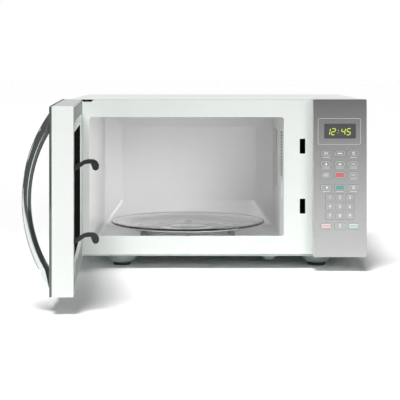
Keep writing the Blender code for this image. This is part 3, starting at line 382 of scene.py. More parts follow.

# %% [markdown]
# Every finish is one call of the recipe. Each could have a graph of its own, but most differ
# only in colour, gloss, grain and how much of a metal they are. Paint varies by a hundredth
# and rolled zinc by a tenth. The case has less gloss than the front, because only the front
# got a clear coat.

# %% Paints, plastics and metals
# The case's white is lighter than the front's. That difference is painted light, which makes the case's top
# as bright as strong light from above would.
case_paint = finish(
    "case_paint", (0.775, 0.785, 0.775), 0.5, vary=0.012, grain=1400.0, bump=0.012, specular=0.12
)
front_paint = finish(
    "front_paint", (0.70, 0.73, 0.705), 0.26, vary=0.012, grain=1100.0, bump=0.008, coat=0.35
)
white_plastic = finish("white_plastic", (0.715, 0.745, 0.725), 0.33, vary=0.015, grain=2600.0)
black_plastic = finish("black_plastic", (0.012, 0.013, 0.013), 0.28, vary=0.15, grain=2400.0, bump=0.03)
choke_plastic = finish("choke_plastic", (0.27, 0.30, 0.285), 0.45, vary=0.05, grain=2000.0, bump=0.03)
ring_plastic = finish("ring_plastic", (0.24, 0.245, 0.245), 0.45, vary=0.04, grain=1800.0)
# Flat black of the switch bracket, also used as painted shade in the lamp holes and behind the slots.
switch_black_and_shade = finish("switch_black_and_shade", (0.006, 0.006, 0.006), 0.6, vary=0.1, grain=1800.0, specular=0.05)
rubber = finish("rubber", (0.022, 0.022, 0.022), 0.72, vary=0.2, grain=1500.0, bump=0.05)
zinc_sheet = finish("zinc_sheet", (0.47, 0.53, 0.50), 0.4, metal=0.55, vary=0.12, patch=60.0, grain=500.0)
spring_steel = finish("spring_steel", (0.5, 0.5, 0.5), 0.3, metal=1.0, vary=0.1, grain=1500.0)
screw_steel = finish("screw_steel", (0.55, 0.55, 0.54), 0.28, metal=1.0, vary=0.12, grain=2000.0)
core_steel = finish("core_steel", (0.05, 0.05, 0.055), 0.5, metal=0.4, vary=0.3, bump=0.05)
can_aluminium = finish("can_aluminium", (0.62, 0.63, 0.64), 0.3, metal=1.0)
mica = finish("mica", (0.62, 0.62, 0.60), 0.38, vary=0.12, patch=120.0, grain=700.0, bump=0.03)
board_green = finish("board_green", (0.02, 0.11, 0.05), 0.35, vary=0.2, patch=220.0, grain=1500.0)
print("plain finishes:", len(bpy.data.materials))

# %% [markdown]
# The chrome, the enamel and the glass each need something of their own. Chrome is a nearly
# perfect mirror, so it only gets faint polishing marks. Oven enamel is pale with fine
# specks fired into it. Pressed glass is clear with a trace of green in its depth, which
# an absorbing volume would give, but a tinted transmission is enough at this thickness.

# %% Chrome, enamel and glass


def speckled(name, colour, speck, rough, share):
    """Enamel: fine specks of a second colour under a smooth gloss, over a share of each cell."""
    made = finish(
        name, colour, rough, vary=0.03, patch=5.0, grain=800.0, bump=0.01, coat=0.3, rough_vary=0.05
    )
    tree = made.node_tree
    shader = tree.nodes["Principled BSDF"]
    plain = shader.inputs["Base Color"].links[0].from_socket
    place = next(n for n in tree.nodes if n.type == "TEX_COORD")
    dots = add_node(tree, "ShaderNodeTexVoronoi")
    dots.inputs["Scale"].default_value = 620.0
    tree.links.new(place.outputs["Object"], dots.inputs["Vector"])
    gate = add_node(tree, "ShaderNodeMapRange")
    gate.inputs["From Min"].default_value = share
    gate.inputs["From Max"].default_value = share + 0.05
    gate.inputs["To Min"].default_value = 0.55
    gate.inputs["To Max"].default_value = 0.0
    tree.links.new(dots.outputs["Distance"], gate.inputs["Value"])
    mixed = add_node(tree, "ShaderNodeMix", data_type="RGBA")
    tree.links.new(gate.outputs["Result"], mixed.inputs["Factor"])
    tree.links.new(plain, mixed.inputs["A"])
    mixed.inputs["B"].default_value = (*speck, 1.0)
    tree.links.new(mixed.outputs["Result"], shader.inputs["Base Color"])
    return made


def clear_glass(name, colour, rough):
    """Glass that lets all light through, tinted by its colour."""
    made = finish(name, colour, rough, vary=0.01, grain=300.0, bump=0.002, rough_vary=0.01)
    shader = made.node_tree.nodes["Principled BSDF"]
    shader.inputs["Transmission Weight"].default_value = 1.0
    shader.inputs["IOR"].default_value = 1.5
    return made


enamel = speckled("cavity_enamel", (0.80, 0.80, 0.80), (0.60, 0.605, 0.605), 0.30, 0.12)
chrome = finish(
    "chrome", (0.74, 0.78, 0.755), 0.07, metal=1.0, vary=0.02, grain=260.0, bump=0.001, rough_vary=0.03
)
tray_glass = clear_glass("tray_glass", (0.985, 0.995, 0.99), 0.03)
lamp_glass = clear_glass("lamp_glass", (0.95, 0.93, 0.85), 0.1)
door_glass = finish(
    "door_glass", (0.10, 0.11, 0.11), 0.06, metal=0.35, vary=0.03, grain=200.0, bump=0.001, coat=1.0
)
display_glass = finish("display_glass", (0.075, 0.075, 0.078), 0.16, vary=0.08, bump=0.002, coat=0.6)
print("special finishes: chrome, enamel, glass")

# %% [markdown]
# ## Camera, light and floor
#
# The oven is seen from just above, with the camera held level. A level camera keeps upright
# edges upright, and the lens is shifted down to bring the oven into the frame. A tilted
# camera would be simpler, but the sides of the oven would lean. The long lens keeps the
# perspective calm, as for a catalogue.

# %% Camera
case_low, case_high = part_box("outer_case")
plate_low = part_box("front_plate")[0]
camera_distance, camera_height, camera_from_left = 2.135, 0.329, 0.2255

lens = bpy.data.cameras.new("camera")
lens.lens = 117.9
lens.sensor_width = 36.0
lens.shift_x, lens.shift_y = -0.0125, -0.3325
camera = bpy.data.objects.new("camera", lens)
camera.location = (case_low.x + camera_from_left, plate_low.y - camera_distance, camera_height)
camera.rotation_euler = (radians(90), 0.0, 0.0)
bpy.context.scene.collection.objects.link(camera)
bpy.context.scene.camera = camera
print("camera at", [round(c, 3) for c in camera.location])

# %% [markdown]
# The air gives only a weak fill, so the gap under the oven stays dark, but where the camera
# looks past the oven the air is plain white. Two backgrounds do that, with a switch that
# tells the camera's own rays from all others. The floor is a thin plate just under the feet.
# It runs so far back that its end is lost in the white of the air.

# %% Air and floor
bpy.context.scene.view_settings.view_transform = "Standard"
air = bpy.data.worlds.new("studio_air")
air.use_nodes = True
tree = air.node_tree
fill = tree.nodes["Background"]
fill.inputs["Color"].default_value = (0.97, 1.0, 0.985, 1.0)
fill.inputs["Strength"].default_value = 0.11
white = add_node(tree, "ShaderNodeBackground")
white.inputs["Strength"].default_value = 1.0
white.inputs["Color"].default_value = (1.0, 1.0, 1.0, 1.0)
path = add_node(tree, "ShaderNodeLightPath")
choose = add_node(tree, "ShaderNodeMixShader")
tree.links.new(path.outputs["Is Camera Ray"], choose.inputs["Fac"])
tree.links.new(fill.outputs["Background"], choose.inputs[1])
tree.links.new(white.outputs["Background"], choose.inputs[2])
tree.links.new(choose.outputs["Shader"], tree.nodes["World Output"].inputs["Surface"])
bpy.context.scene.world = air

floor_paint = finish("floor_white", (0.92, 0.92, 0.92), 0.7, vary=0.002, patch=2.0, grain=60.0, bump=0.0)
floor_half, floor_near, floor_far, floor_corner = 12.0, -1.45, 30.0, 0.3
floor_top, floor_under = -0.0002, -0.0012
floor_outline = rounded(-floor_half, floor_near, floor_half, floor_far, floor_corner)
floor = plate("floor", floor_outline, [], floor_under, floor_top, ALONG_Z, floor_paint)
print("floor", 2 * floor_half, "wide and", floor_far - floor_near, "deep")

# %% [markdown]
# The lamps follow a simple plan. One broad lamp, high in front and a little to the left,
# lights the floor, the top and the front. A weaker one, low in front and to the right,
# fills the side that the open door would shade, and the floor throws light back onto the
# upright faces.

# %% Lamps


def aimed(name, lamp, place, aim):
    """A lamp at a place, turned to shine at another."""
    made = bpy.data.objects.new(name, lamp)
    made.location = place
    made.rotation_euler = (Vector(aim) - Vector(place)).to_track_quat("-Z", "Y").to_euler()
    bpy.context.scene.collection.objects.link(made)
    return made


def sun(name, energy, spread, place):
    """A far lamp that shines at the middle of the scene; a wide spread makes soft shadows."""
    lamp = bpy.data.lights.new(name, "SUN")
    lamp.energy = energy
    lamp.angle = radians(spread)
    aimed(name, lamp, place, (0.0, 0.0, 0.0))


sun("broad_lamp", 3.5, 18, (-0.35, -0.95, 2.2))
sun("low_fill", 0.95, 24, (0.6, -1.9, 0.5))
print("lamps:", len(bpy.data.lights))

# %% [markdown]
# ## The oven's own space
#
# From here on, pieces are built about the oven itself. Zero is the middle of the front plate
# at floor level, and the cavity goes back from it along Y. One move then carries each piece
# to its place in the model.

# %% Place of the oven
oven_origin = Vector(((case_low.x + case_high.x) / 2, plate_low.y, 0.0))
left, right = case_low.x - oven_origin.x, case_high.x - oven_origin.x
bottom, top = case_low.z, case_high.z
depth = case_high.y - plate_low.y


def local_box(node):
    """A part's lowest and highest corner, measured from the oven's zero."""
    low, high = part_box(node)
    return low - oven_origin, high - oven_origin


def placed(piece):
    """Moves a piece that was built about the oven's zero to its place in the model."""
    piece.data.transform(Matrix.Translation(oven_origin))
    return piece


def on_door(piece):
    """Moves a piece that was built about the oven with its door shut to the open door."""
    placed(piece)
    return swing(piece)


print("body", round(right - left, 4), "wide,", round(top - bottom, 4), "high,", round(depth, 4), "deep")

# %% [markdown]
# ## The case
#
# The case is one sheet of pre-painted steel, folded over the top and both sides. Its cut
# edges are sharp, so they get a fine bevel. Air for the electronics comes in through slots
# punched in the sides. They are cut here, because a dark stripe of paint would have no depth
# when seen from the side.

# %% Case with punched air slots
slot_wide, slot_high, slot_corner = 0.0032, 0.028, 0.0015
slot_rows, slot_columns, lowest_slot = 2, 12, 0.060
slot_pitch, row_pitch = 0.0075, 0.034
punch_reach = 0.004
case = merged_copy("outer_case", "case_shell", case_paint)
for side, last_slot in ((left, 0.30), (right, 0.12)):
    near, far = oven_origin.x + side - punch_reach, oven_origin.x + side + punch_reach
    slots = []
    for row in range(slot_rows):
        for column in range(slot_columns):
            y = oven_origin.y + last_slot - column * slot_pitch
            z = lowest_slot + row * row_pitch
            outline = rounded(y, z, y + slot_wide, z + slot_high, slot_corner, 4)
            slots.append(prism("slot", outline, near, far, ALONG_X, case_paint))
    cut(case, gather("air_slots", slots))
soften(case, 0.0004)
# The sides are flat, and blended normals would show as fans of grey round the slots.
case.data.attributes.remove(case.data.attributes["custom_normal"])
case.data.shade_flat()
fit(case, "cabinet", "case_paint", "outer_case")
print("case faces:", len(case.data.polygons))

# %% [markdown]
# ## The front plate, the back and the base
#
# The front plate is welded to the cavity and has a glossier white paint than the case. Its
# opening has a small round turn where the press drew the metal inwards. The same bevel helper
# gives that turn, and it also eases the slots for the two hooks and the two hinges. The back
# and the base are plain zinc-coated sheet, and the base's pressed domes stay smooth up to a
# wider angle.

# %% Front plate, back panel and base
dress("front_plate", "front_face", front_paint, 0.00035, "case_paint", segments=3)
dress("back_panel", "rear_sheet", zinc_sheet, 0.0003, "zinc_sheet")
pan_crease = 50.0
pan = dress("base_plate", "base_pan", zinc_sheet, 0.0003, "zinc_sheet", angle=pan_crease)
pan.data.shade_smooth()
pan.data.set_sharp_from_angle(angle=radians(pan_crease))
print("front, back and base dressed")

# %% [markdown]
# Six screws hold the back. Their heads could be dots of colour, but a turned head with a
# cross cut into it catches the light, and it takes only one short function.

# %% Screws of the back


def screw_head(centre):
    """A pan-head screw with a cross recess, its head standing out along +Y."""
    profile = [(0.0001, 0.0), (0.0030, 0.0), (0.0031, 0.0003)]
    profile += [(0.0027, 0.0008), (0.0016, 0.0012), (0.0004, 0.0012)]
    head = turned("screw", profile, screw_steel, 24)
    for spin in (0, 90):
        blade = block("recess", (-0.0016, -0.00025, 0.0006), (0.0016, 0.00025, 0.0030), screw_steel)
        blade.data.transform(Matrix.Rotation(radians(spin), 4, "Z"))
        cut(head, blade)
    head.data.transform(Matrix.Rotation(radians(-90), 4, "X"))
    head.data.transform(Matrix.Translation(Vector(centre)))
    return head


back_face = local_box("back_panel")[1].y
screw_inset, head_gap = 0.012, 0.00005
screws = []
for x in (left + screw_inset, 0.0, right - screw_inset):
    for z in (bottom + screw_inset, top - screw_inset):
        screws.append(screw_head((x, back_face + head_gap, z)))
fit(placed(gather("back_screws", screws)), "cabinet", "zinc_sheet")
print("screws on the back:", len(screws))

# %% [markdown]
# ## The cooking cavity
#
# The cavity is drawn from sheet steel and enamelled. Its back is stamped into a shallow
# tapered dish, which stiffens the wall and spreads the waves. A surface through rings gives
# both the thin wall and the round folds: each ring is a rounded rectangle, and the fold
# between wall and dish is eased with a few extra rings.

# %% Cavity shell
liner_low, liner_high = local_box("cavity_liner")
sheet, corner = 0.001, 0.005
cavity_wide, cavity_floor, cavity_ceiling = 0.317, 0.031, 0.2485
cavity_left = liner_low.x + sheet
cavity_right = cavity_left + cavity_wide
cavity_front = liner_low.y
cavity_rear = liner_high.y - sheet
stamp_deep, stamp_border, fold_deep = 0.012, 0.033, 0.003
# The border of the dish is wider along the floor than at the sides and the top.
stamp_foot = 1.42


def cavity_ring(inset, y, grow):
    """A rounded rectangle at depth y, drawn in by inset; grow is the sheet on the outer side."""
    low, high = cavity_floor - grow + inset * stamp_foot, cavity_ceiling + grow - inset
    near, far = cavity_left - grow + inset, cavity_right + grow - inset
    return [(x, y, z) for x, z in rounded(near, low, far, high, corner + grow, 12)]


def cavity_rings(grow):
    """Front rim, wall, eased fold, tapered border, eased fold and the flat middle."""
    rear = cavity_rear + grow
    fold = rear - stamp_deep
    rings = [cavity_ring(0.0, y, grow) for y in (cavity_front, 0.08, 0.16, 0.24, fold - fold_deep)]
    for share in (0.15, 0.4, 0.7, 1.0):
        rings.append(cavity_ring(0.0015 * share * share, fold - fold_deep + fold_deep * share, grow))
    rings.append(cavity_ring(0.004, fold + 0.0013, grow))
    rings.append(cavity_ring(stamp_border - 0.003, rear - 0.0010, grow))
    rings.append(cavity_ring(stamp_border - 0.0012, rear - 0.0003, grow))
    rings.append(cavity_ring(stamp_border, rear, grow))
    return rings


inner, outer = cavity_rings(0.0), cavity_rings(sheet)
cavity = skin("cavity_shell", inner[::-1] + outer, enamel, crease=50.0)
print("cavity", round(cavity_wide, 3), "wide and", round(cavity_rear - cavity_front, 3), "deep")

# %% [markdown]
# The motor's shaft comes up through a hole in the floor, and the waves come in through a port
# in the right wall. Behind the port a box, the wave guide, leads to the magnetron's antenna.
# Closed blocks cut the holes, and then the box is joined to the shell, as the two are welded
# on the real oven. Booleans are safe here, because every block is a closed solid.

# %% Shaft hole, port and wave guide
tray_low, tray_high = local_box("turntable_tray")
table = ((tray_low.x + tray_high.x) / 2, (tray_low.y + tray_high.y) / 2)
port_low, port_high = (0.2162, 0.1292), (0.2918, 0.2048)
port_middle = [(low + high) / 2 for low, high in zip(port_low, port_high)]
guide_wall, guide_reach, through = 0.0012, 0.039, 0.004

shaft = prism(
    "shaft", circle(table, 0.005, 32), cavity_floor - through, cavity_floor + through, ALONG_Z, enamel
)
port = block("port", (cavity_right - through, *port_low), (cavity_right + through, *port_high), enamel)
cut(cavity, shaft, port)
guide_low = (cavity_right + 0.0008, *[value - guide_wall for value in port_low])
guide_high = (cavity_right + guide_reach, *[value + guide_wall for value in port_high])
guide = block("guide", guide_low, guide_high, enamel)
bore_end = cavity_right + guide_reach - guide_wall
bore = block("bore", (cavity_right - 0.01, *port_low), (bore_end, *port_high), enamel)
antenna = prism(
    "antenna", circle(port_middle, 0.011, 32), bore_end - through, bore_end + 2 * through, ALONG_X, enamel
)
cut(guide, bore, antenna)
join(cavity, guide)
cavity.data.shade_smooth()
cavity.data.set_sharp_from_angle(angle=radians(40))
fit(placed(cavity), "cabinet", "cavity_enamel", "cavity_liner")
print("cavity faces:", len(cavity.data.polygons))

# %% [markdown]
# Two more details are pressed into the walls. A ring in the floor keeps the rollers on their
# track, and a rib stiffens the wall by the lamp. Both are low mounds of the same enamel, so
# they are thin pieces laid on the wall. The port has a cover of mica sheet, which lets the
# waves through and keeps grease out.

# %% Pressed ribs of the cavity


def floor_ring(radius, width, rise):
    """A low rounded mound that runs round the turntable's axis."""
    profile = [(radius - width / 2, cavity_floor - 0.0003)]
    for i in range(9):
        a = pi * i / 8
        profile.append((radius - width / 2 * cos(a), cavity_floor + 0.00005 + rise * sin(a)))
    profile.append((radius + width / 2, cavity_floor - 0.0003))
    return turned("floor_ring", profile, enamel, 96, closed=True, centre=table, crease=60.0)


def wall_rib(y, low, high, width, rise):
    """A long pad with round ends, standing a little into the cavity from its right wall."""
    rings = []
    for shrink, out in ((0.0, -0.0003), (0.0, 0.0), (0.0006, rise * 0.7), (0.0014, rise)):
        half = width / 2 - shrink
        outline = rounded(y - half, low + shrink, y + half, high - shrink, half - 0.0001, 8)
        rings.append([(cavity_right - out, u, v) for u, v in outline])
    return skin("wall_rib", rings, enamel, crease=60.0)


track = floor_ring(radius=0.0765, width=0.006, rise=0.0009)
rib = wall_rib(y=0.050, low=0.108, high=0.138, width=0.010, rise=0.0010)
fit(placed(gather("cavity_ribs", [track, rib])), "cabinet", "cavity_enamel")
dress("waveguide_cover", "mica_cover", mica, 0.0002, "mica")
print("ribs and mica cover in place")

# %% [markdown]
# The lamp shines in through a field of fine holes. Cutting them all would be slow, so each is
# a thin dark disc let into the wall: painted shade for the dark inside of the hole. Discs keep
# their shape when seen along the wall, which a painted pattern wouldn't.

# %% Lamp holes as discs of painted shade
hole_rows, hole_columns, row_pitch, column_pitch = 15, 10, 0.0051, 0.0049
field_near, field_top = 0.038, 0.2195
half_wide, half_high = 0.0022, 0.0011
# Each spot is a dark disc of painted shade in place of a hole.
spots = []
for row in range(hole_rows):
    for column in range(hole_columns):
        y, z = field_near + column * column_pitch, field_top - row * row_pitch
        outline = rounded(y - half_wide, z - half_high, y + half_wide, z + half_high, 0.0010, 3)
        near, far = cavity_right - 0.00005, cavity_right + 0.0004
        spots.append(prism("spot", outline, near, far, ALONG_X, switch_black_and_shade))
fit(placed(gather("lamp_hole_shade", spots)), "cabinet", "black_plastic")
print("lamp holes:", len(spots))

# %% [markdown]
# ## Light in the cavity
#
# The oven's own lamp shines through the field of holes, and the pale walls spread its
# light. Light takes very long to compute through such small holes, so two soft lamps inside
# the cavity stand for it. They can't be seen themselves, and only the one by the holes shows
# in the gloss of the enamel.

# %% Spread light of the oven lamp


def glow(name, place, aim, size, power, in_gloss):
    """A soft lamp between two places in the cavity that can't be seen itself."""
    lamp = bpy.data.lights.new(name, "AREA")
    lamp.shape = "RECTANGLE"
    lamp.size, lamp.size_y = size
    lamp.energy = power
    made = aimed(name, lamp, Vector(place) + oven_origin, Vector(aim) + oven_origin)
    made.visible_camera = False
    made.visible_glossy = in_gloss
    made.visible_transmission = False


by_the_holes, low_on_the_left = (cavity_right - 0.012, 0.07, 0.15), (cavity_left, 0.13, 0.07)
in_the_mouth, at_the_back = (table[0], 0.012, 0.13), (table[0], 0.30, 0.11)
glow("lamp_spread", by_the_holes, low_on_the_left, (0.10, 0.12), 0.27, True)
glow("front_spread", in_the_mouth, at_the_back, (0.28, 0.18), 0.05, False)
print("cavity lit")

# %% [markdown]
# ## The turntable
#
# The tray is pressed glass: a flat middle, a sloping rim with a round lip, and three fine
# grooves that run round it. Turning a finely stepped profile gives all of it in one surface.
# Three lugs under the middle sit between the arms of the coupler.

# %% Glass tray
lug_long = 0.005
tray_bottom, tray_edge = tray_low.z + lug_long, tray_high.z
tray_radius = (tray_high.x - tray_low.x) / 2
base_radius, glass_thick = 0.098, 0.004
tray_top = tray_bottom + glass_thick
under = [(0.0002, tray_bottom), (0.030, tray_bottom), (0.060, tray_bottom), (base_radius, tray_bottom)]
under += [(base_radius + 0.003, tray_bottom + 0.0009), (0.112, tray_bottom + 0.0040)]
under += [(tray_radius - 0.003, tray_edge - 0.0042), (tray_radius - 0.0012, tray_edge - 0.0034)]
lip = [(tray_radius - 0.0004, tray_edge - 0.0024), (tray_radius, tray_edge - 0.0014)]
lip += [(tray_radius - 0.0003, tray_edge - 0.0007), (tray_radius - 0.0012, tray_edge - 0.0001)]
lip += [(tray_radius - 0.0024, tray_edge), (tray_radius - 0.0034, tray_edge - 0.0003)]
above = [(tray_radius - 0.0045, tray_edge - 0.0010), (0.115, tray_top + 0.0046)]
above += [(base_radius + 0.004, tray_top + 0.0016), (base_radius + 0.001, tray_top + 0.0004)]
above += [(base_radius - 0.002, tray_top)]
groove_half, groove_deep = 0.0022, 0.00012
for groove in (0.0890, 0.0620, 0.0350):
    for away, sink in ((groove_half, 0.0), (0.0, groove_deep), (-groove_half, 0.0)):
        above.append((groove + away, tray_top - sink))
above.append((0.0002, tray_top))
tray = turned("glass_tray", under + lip + above, tray_glass, 128, centre=table, crease=50.0)
lug_circle = 0.0155
for i in range(3):
    turn = radians(60 + 120 * i)
    spot = (table[0] + lug_circle * cos(turn), table[1] + lug_circle * sin(turn))
    profile = [(0.0020, tray_bottom - lug_long), (0.0031, tray_bottom - 0.0046)]
    profile += [(0.0035, tray_bottom - 0.0036), (0.0035, tray_bottom + 0.001)]
    join(tray, turned("lug", profile, tray_glass, 24, centre=spot))
tray.data.shade_smooth()
tray.data.set_sharp_from_angle(angle=radians(50))
fit(placed(tray), "turntable", "tray_glass", "turntable_tray")
print("tray radius", round(tray_radius, 4))

# %% [markdown]
# Under the tray run a plastic ring with three wheels and the three-armed coupler that the
# motor turns. Their shapes are right already, so each gets a softened copy. The wheels are so
# small that a finer bevel, taken from a smaller angle, keeps them round.

# %% Roller ring, wheels and coupler
dress("roller_ring", "ring", ring_plastic, 0.0004, "coupler_plastic", "roller_ring")
dress("drive_coupler", "coupler", ring_plastic, 0.0005, "coupler_plastic", "turntable")
for i in (1, 2, 3):
    wheel = f"wheel_{i}"
    dress(f"roller_{wheel}", wheel, ring_plastic, 0.0003, "coupler_plastic", wheel, 3, 25.0)
print("roller ring dressed")

# %% [markdown]
# ## Feet
#
# The front feet are rubber pads in the cups of the pan, and a rubber foot has a soft lower
# edge and a small dimple under its screw. The rear of the oven stands on the cups
# themselves. Each pad is a turned profile, read from the middle of the dimple outwards.

# %% Rubber feet
for node in ("foot_front_left", "foot_front_right"):
    low, high = local_box(node)
    centre = ((low.x + high.x) / 2, (low.y + high.y) / 2)
    edge = (high.x - low.x) / 2
    profile = [(0.0002, 0.0018), (0.0030, 0.0018), (0.0038, 0.0004), (0.0046, 0.0)]
    profile += [(edge - 0.0022, 0.0), (edge - 0.0010, 0.0003), (edge - 0.0002, 0.0011)]
    profile += [(edge, 0.0020), (edge, high.z - 0.0012), (edge - 0.0004, high.z - 0.0003)]
    profile += [(edge - 0.0012, high.z), (0.0002, high.z)]
    pad = placed(turned(node.replace("foot", "pad"), profile, rubber, 48, centre=centre))
    fit(pad, "cabinet", "rubber", node)
print("rubber feet in place")

# %% [markdown]
# A smaller boss is pressed down between the front feet, on the right. It ends above the
# surface that the oven stands on. A turned cap hung under the pan gives it in a few points.

# %% Boss of the base
boss_profile = [(0.0002, 0.0095), (0.0070, 0.0097), (0.0104, 0.0122)]
boss_profile += [(0.0125, 0.0165), (0.0133, 0.0226), (0.0002, 0.0226)]
boss = placed(turned("pan_boss", boss_profile, zinc_sheet, 48, centre=(0.0895, 0.045)))
fit(boss, "cabinet", "zinc_sheet")
print("boss", len(boss.data.polygons), "faces")

# %% [markdown]
# ## The control panel
#
# The panel is a white box with a thin printed face. The face is a silver lacquer that looks
# darker at the top, because it bends slightly and mirrors a darker part of the room there.
# A blend along the height gives that look from every side. Very fine noise stretched
# sideways stands for the brushed pattern in the print.

# %% Silver lacquer
LIGHT_SHARE = 0.55


def silver_lacquer(name, dark, light, rough):
    """A lacquer that is light at the bottom of the oven, dark at its top, and finely brushed."""
    made = finish(name, light, rough, vary=0.01, grain=1500.0, bump=0.004, coat=0.35)
    tree = made.node_tree
    shader = tree.nodes["Principled BSDF"]
    place = next(n for n in tree.nodes if n.type == "TEX_COORD")
    axes = add_node(tree, "ShaderNodeSeparateXYZ")
    tree.links.new(place.outputs["Object"], axes.inputs["Vector"])
    height = add_node(tree, "ShaderNodeMapRange")
    height.inputs["From Min"].default_value = bottom
    height.inputs["From Max"].default_value = top
    tree.links.new(axes.outputs["Z"], height.inputs["Value"])
    blend = add_node(tree, "ShaderNodeValToRGB")
    blend.color_ramp.elements[0].position = 0.0
    blend.color_ramp.elements[1].position = 1.0
    blend.color_ramp.elements[0].color = (*light, 1.0)
    blend.color_ramp.elements[1].color = (*dark, 1.0)
    middle_stop = blend.color_ramp.elements.new(LIGHT_SHARE)
    between = [a * LIGHT_SHARE + b * (1 - LIGHT_SHARE) for a, b in zip(light, dark)]
    middle_stop.color = (*between, 1.0)
    tree.links.new(height.outputs["Result"], blend.inputs["Fac"])
    stretch = add_node(tree, "ShaderNodeMapping")
    stretch.inputs["Scale"].default_value = (60.0, 900.0, 4000.0)
    tree.links.new(place.outputs["Object"], stretch.inputs["Vector"])
    brush = add_node(tree, "ShaderNodeTexNoise")
    brush.inputs["Scale"].default_value = 1.0
    tree.links.new(stretch.outputs["Vector"], brush.inputs["Vector"])
    streak = add_node(tree, "ShaderNodeMix", data_type="RGBA", blend_type="OVERLAY")
    streak.inputs["Factor"].default_value = 0.10
    tree.links.new(blend.outputs["Color"], streak.inputs["A"])
    tree.links.new(brush.outputs["Color"], streak.inputs["B"])
    tree.links.new(streak.outputs["Result"], shader.inputs["Base Color"])
    return made


silver = silver_lacquer("silver_fascia", (0.105, 0.106, 0.105), (0.42, 0.425, 0.42), 0.36)
print("silver lacquer ready")

# %% [markdown]
# The print needs white, two reds, two greens and a dark line colour. The figures of the clock
# are lit from behind. A finish with a little emission glows in any light, and needs no lamp.

# %% Inks and the light of the display


def ink_finish(name, colour, rough=0.4, vary=0.02):
    """Screen print: one thick colour with hardly any variation."""
    return finish(name, colour, rough, vary=vary, grain=2500.0)


print_white = ink_finish("print_white", (0.80, 0.82, 0.81), 0.45, 0.01)
print_red = ink_finish("print_red", (0.58, 0.085, 0.085))
print_pink = ink_finish("print_pink", (0.66, 0.55, 0.53))
print_teal = ink_finish("print_teal", (0.055, 0.30, 0.27))
print_mint = ink_finish("print_mint", (0.52, 0.64, 0.60))
print_dark = ink_finish("print_dark", (0.07, 0.15, 0.13))
display_light = finish("display_light", (0.36, 0.44, 0.04), 0.4, vary=0.01)
lit = display_light.node_tree.nodes["Principled BSDF"].inputs
lit["Emission Color"].default_value = (0.56, 0.70, 0.02, 1.0)
lit["Emission Strength"].default_value = 0.62
print("print colours ready")

# %% [markdown]
# The box, the face and the display window keep the shape of the working model. Thin parts can
# only take a tiny bevel: the face is a film, and the window lies flush in it.

# %% Panel box, face and display
panel_low = local_box("panel_fascia")[0]
panel_left, panel_face = panel_low.x, panel_low.y
dress("panel_housing", "panel_box", white_plastic, 0.0005, "white_plastic")
dress("panel_fascia", "panel_face", silver, 0.00015, "silver_fascia")
dress("display_lens", "display_window", display_glass, 0.00012, "display_glass")
print("panel left edge at", round(panel_left, 4), "its face at", round(panel_face, 4))

# %% [markdown]
# ## Print on the panel
#
# Screen print is a layer of ink a few hundredths of a millimetre thick. Each mark is a
# thin raised plate, so it has an edge and takes the light like ink. The marks are placed
# from the panel's left and top edges, as on a drawing. A key's marks ride on the key, so
# they move in when it is pressed.

# %% Helpers for the print
ink = 0.00006


def from_edges(across, down):
    """A place on the face from its distances to the panel's left and top edges."""
    return panel_left + across, top - down


def raised(name, outline, finish_used, face_y):
    """A layer of ink in the shape of an outline on the face."""
    return prism(name, outline, face_y - ink, face_y + ink, ALONG_Y, finish_used)


def mark(outline, finish_used, face_y):
    """A flat mark from an outline in distances from the panel's left and top edges."""
    return raised("mark", [from_edges(u, v) for u, v in outline], finish_used, face_y)


def frame_mark(across, down, wide, high, radius, line, finish_used, face_y):
    """A thin rounded line round a key or the display."""
    x, z = from_edges(across, down)
    loops = []
    for grow in (0.0, -line):
        w, h = wide / 2 + grow, high / 2 + grow
        loops.append(rounded(x - w, z - h, x + w, z + h, max(0.0003, radius + grow), 8))
    return plate("frame_mark", loops[0], [loops[1]], face_y - ink, face_y + ink, ALONG_Y, finish_used)


def bar_mark(across, down, wide, high, finish_used, face_y, radius=0.0001):
    """A straight bar about its middle."""
    x, z = from_edges(across, down)
    outline = rounded(x - wide / 2, z - high / 2, x + wide / 2, z + high / 2, radius, 4)
    return raised("bar", outline, finish_used, face_y)


print("ink layer", ink, "thick")

# %% [markdown]
# Digits could be drawn point by point, but Blender's own letter shapes are cleaner. A text
# object is given the thickness of the ink, turned into a mesh and stood upright on the face.

# %% Digits from letter shapes


def digit_mark(text, across, down, size, finish_used, face_y):
    """A printed digit made from the built-in letter shapes, turned into a mesh."""
    curve = bpy.data.curves.new("digit", "FONT")
    curve.body = text
    curve.size = size
    curve.align_x = "CENTER"
    curve.align_y = "CENTER"
    curve.extrude = ink
    curve.resolution_u = 6
    letter = bpy.data.objects.new("digit", curve)
    bpy.context.scene.collection.objects.link(letter)
    graph = bpy.context.evaluated_depsgraph_get()
    mesh = bpy.data.meshes.new_from_object(letter.evaluated_get(graph))
    bpy.data.objects.remove(letter, do_unlink=True)
    shape = bmesh.new()
    shape.from_mesh(mesh)
    bmesh.ops.remove_doubles(shape, verts=shape.verts, dist=1e-7)
    shape.to_mesh(mesh)
    shape.free()
    x, z = from_edges(across, down)
    mesh.transform(Matrix.Translation((x, face_y, z)) @ Matrix.Rotation(radians(90), 4, "X"))
    mesh.materials.clear()
    mesh.materials.append(finish_used)
    made = bpy.data.objects.new("digit", mesh)
    bpy.context.scene.collection.objects.link(made)
    return made


print("digit helper ready")

# %% [markdown]
# The display shows a clock. Each figure is built from slanted bars, as on a lit segment
# display, and they glow a little in yellow-green.

# %% Clock figures and the frame round the display
SEGMENTS = {"1": "bc", "2": "abged", "4": "fgbc", "5": "afgcd"}
LEAN = 0.16


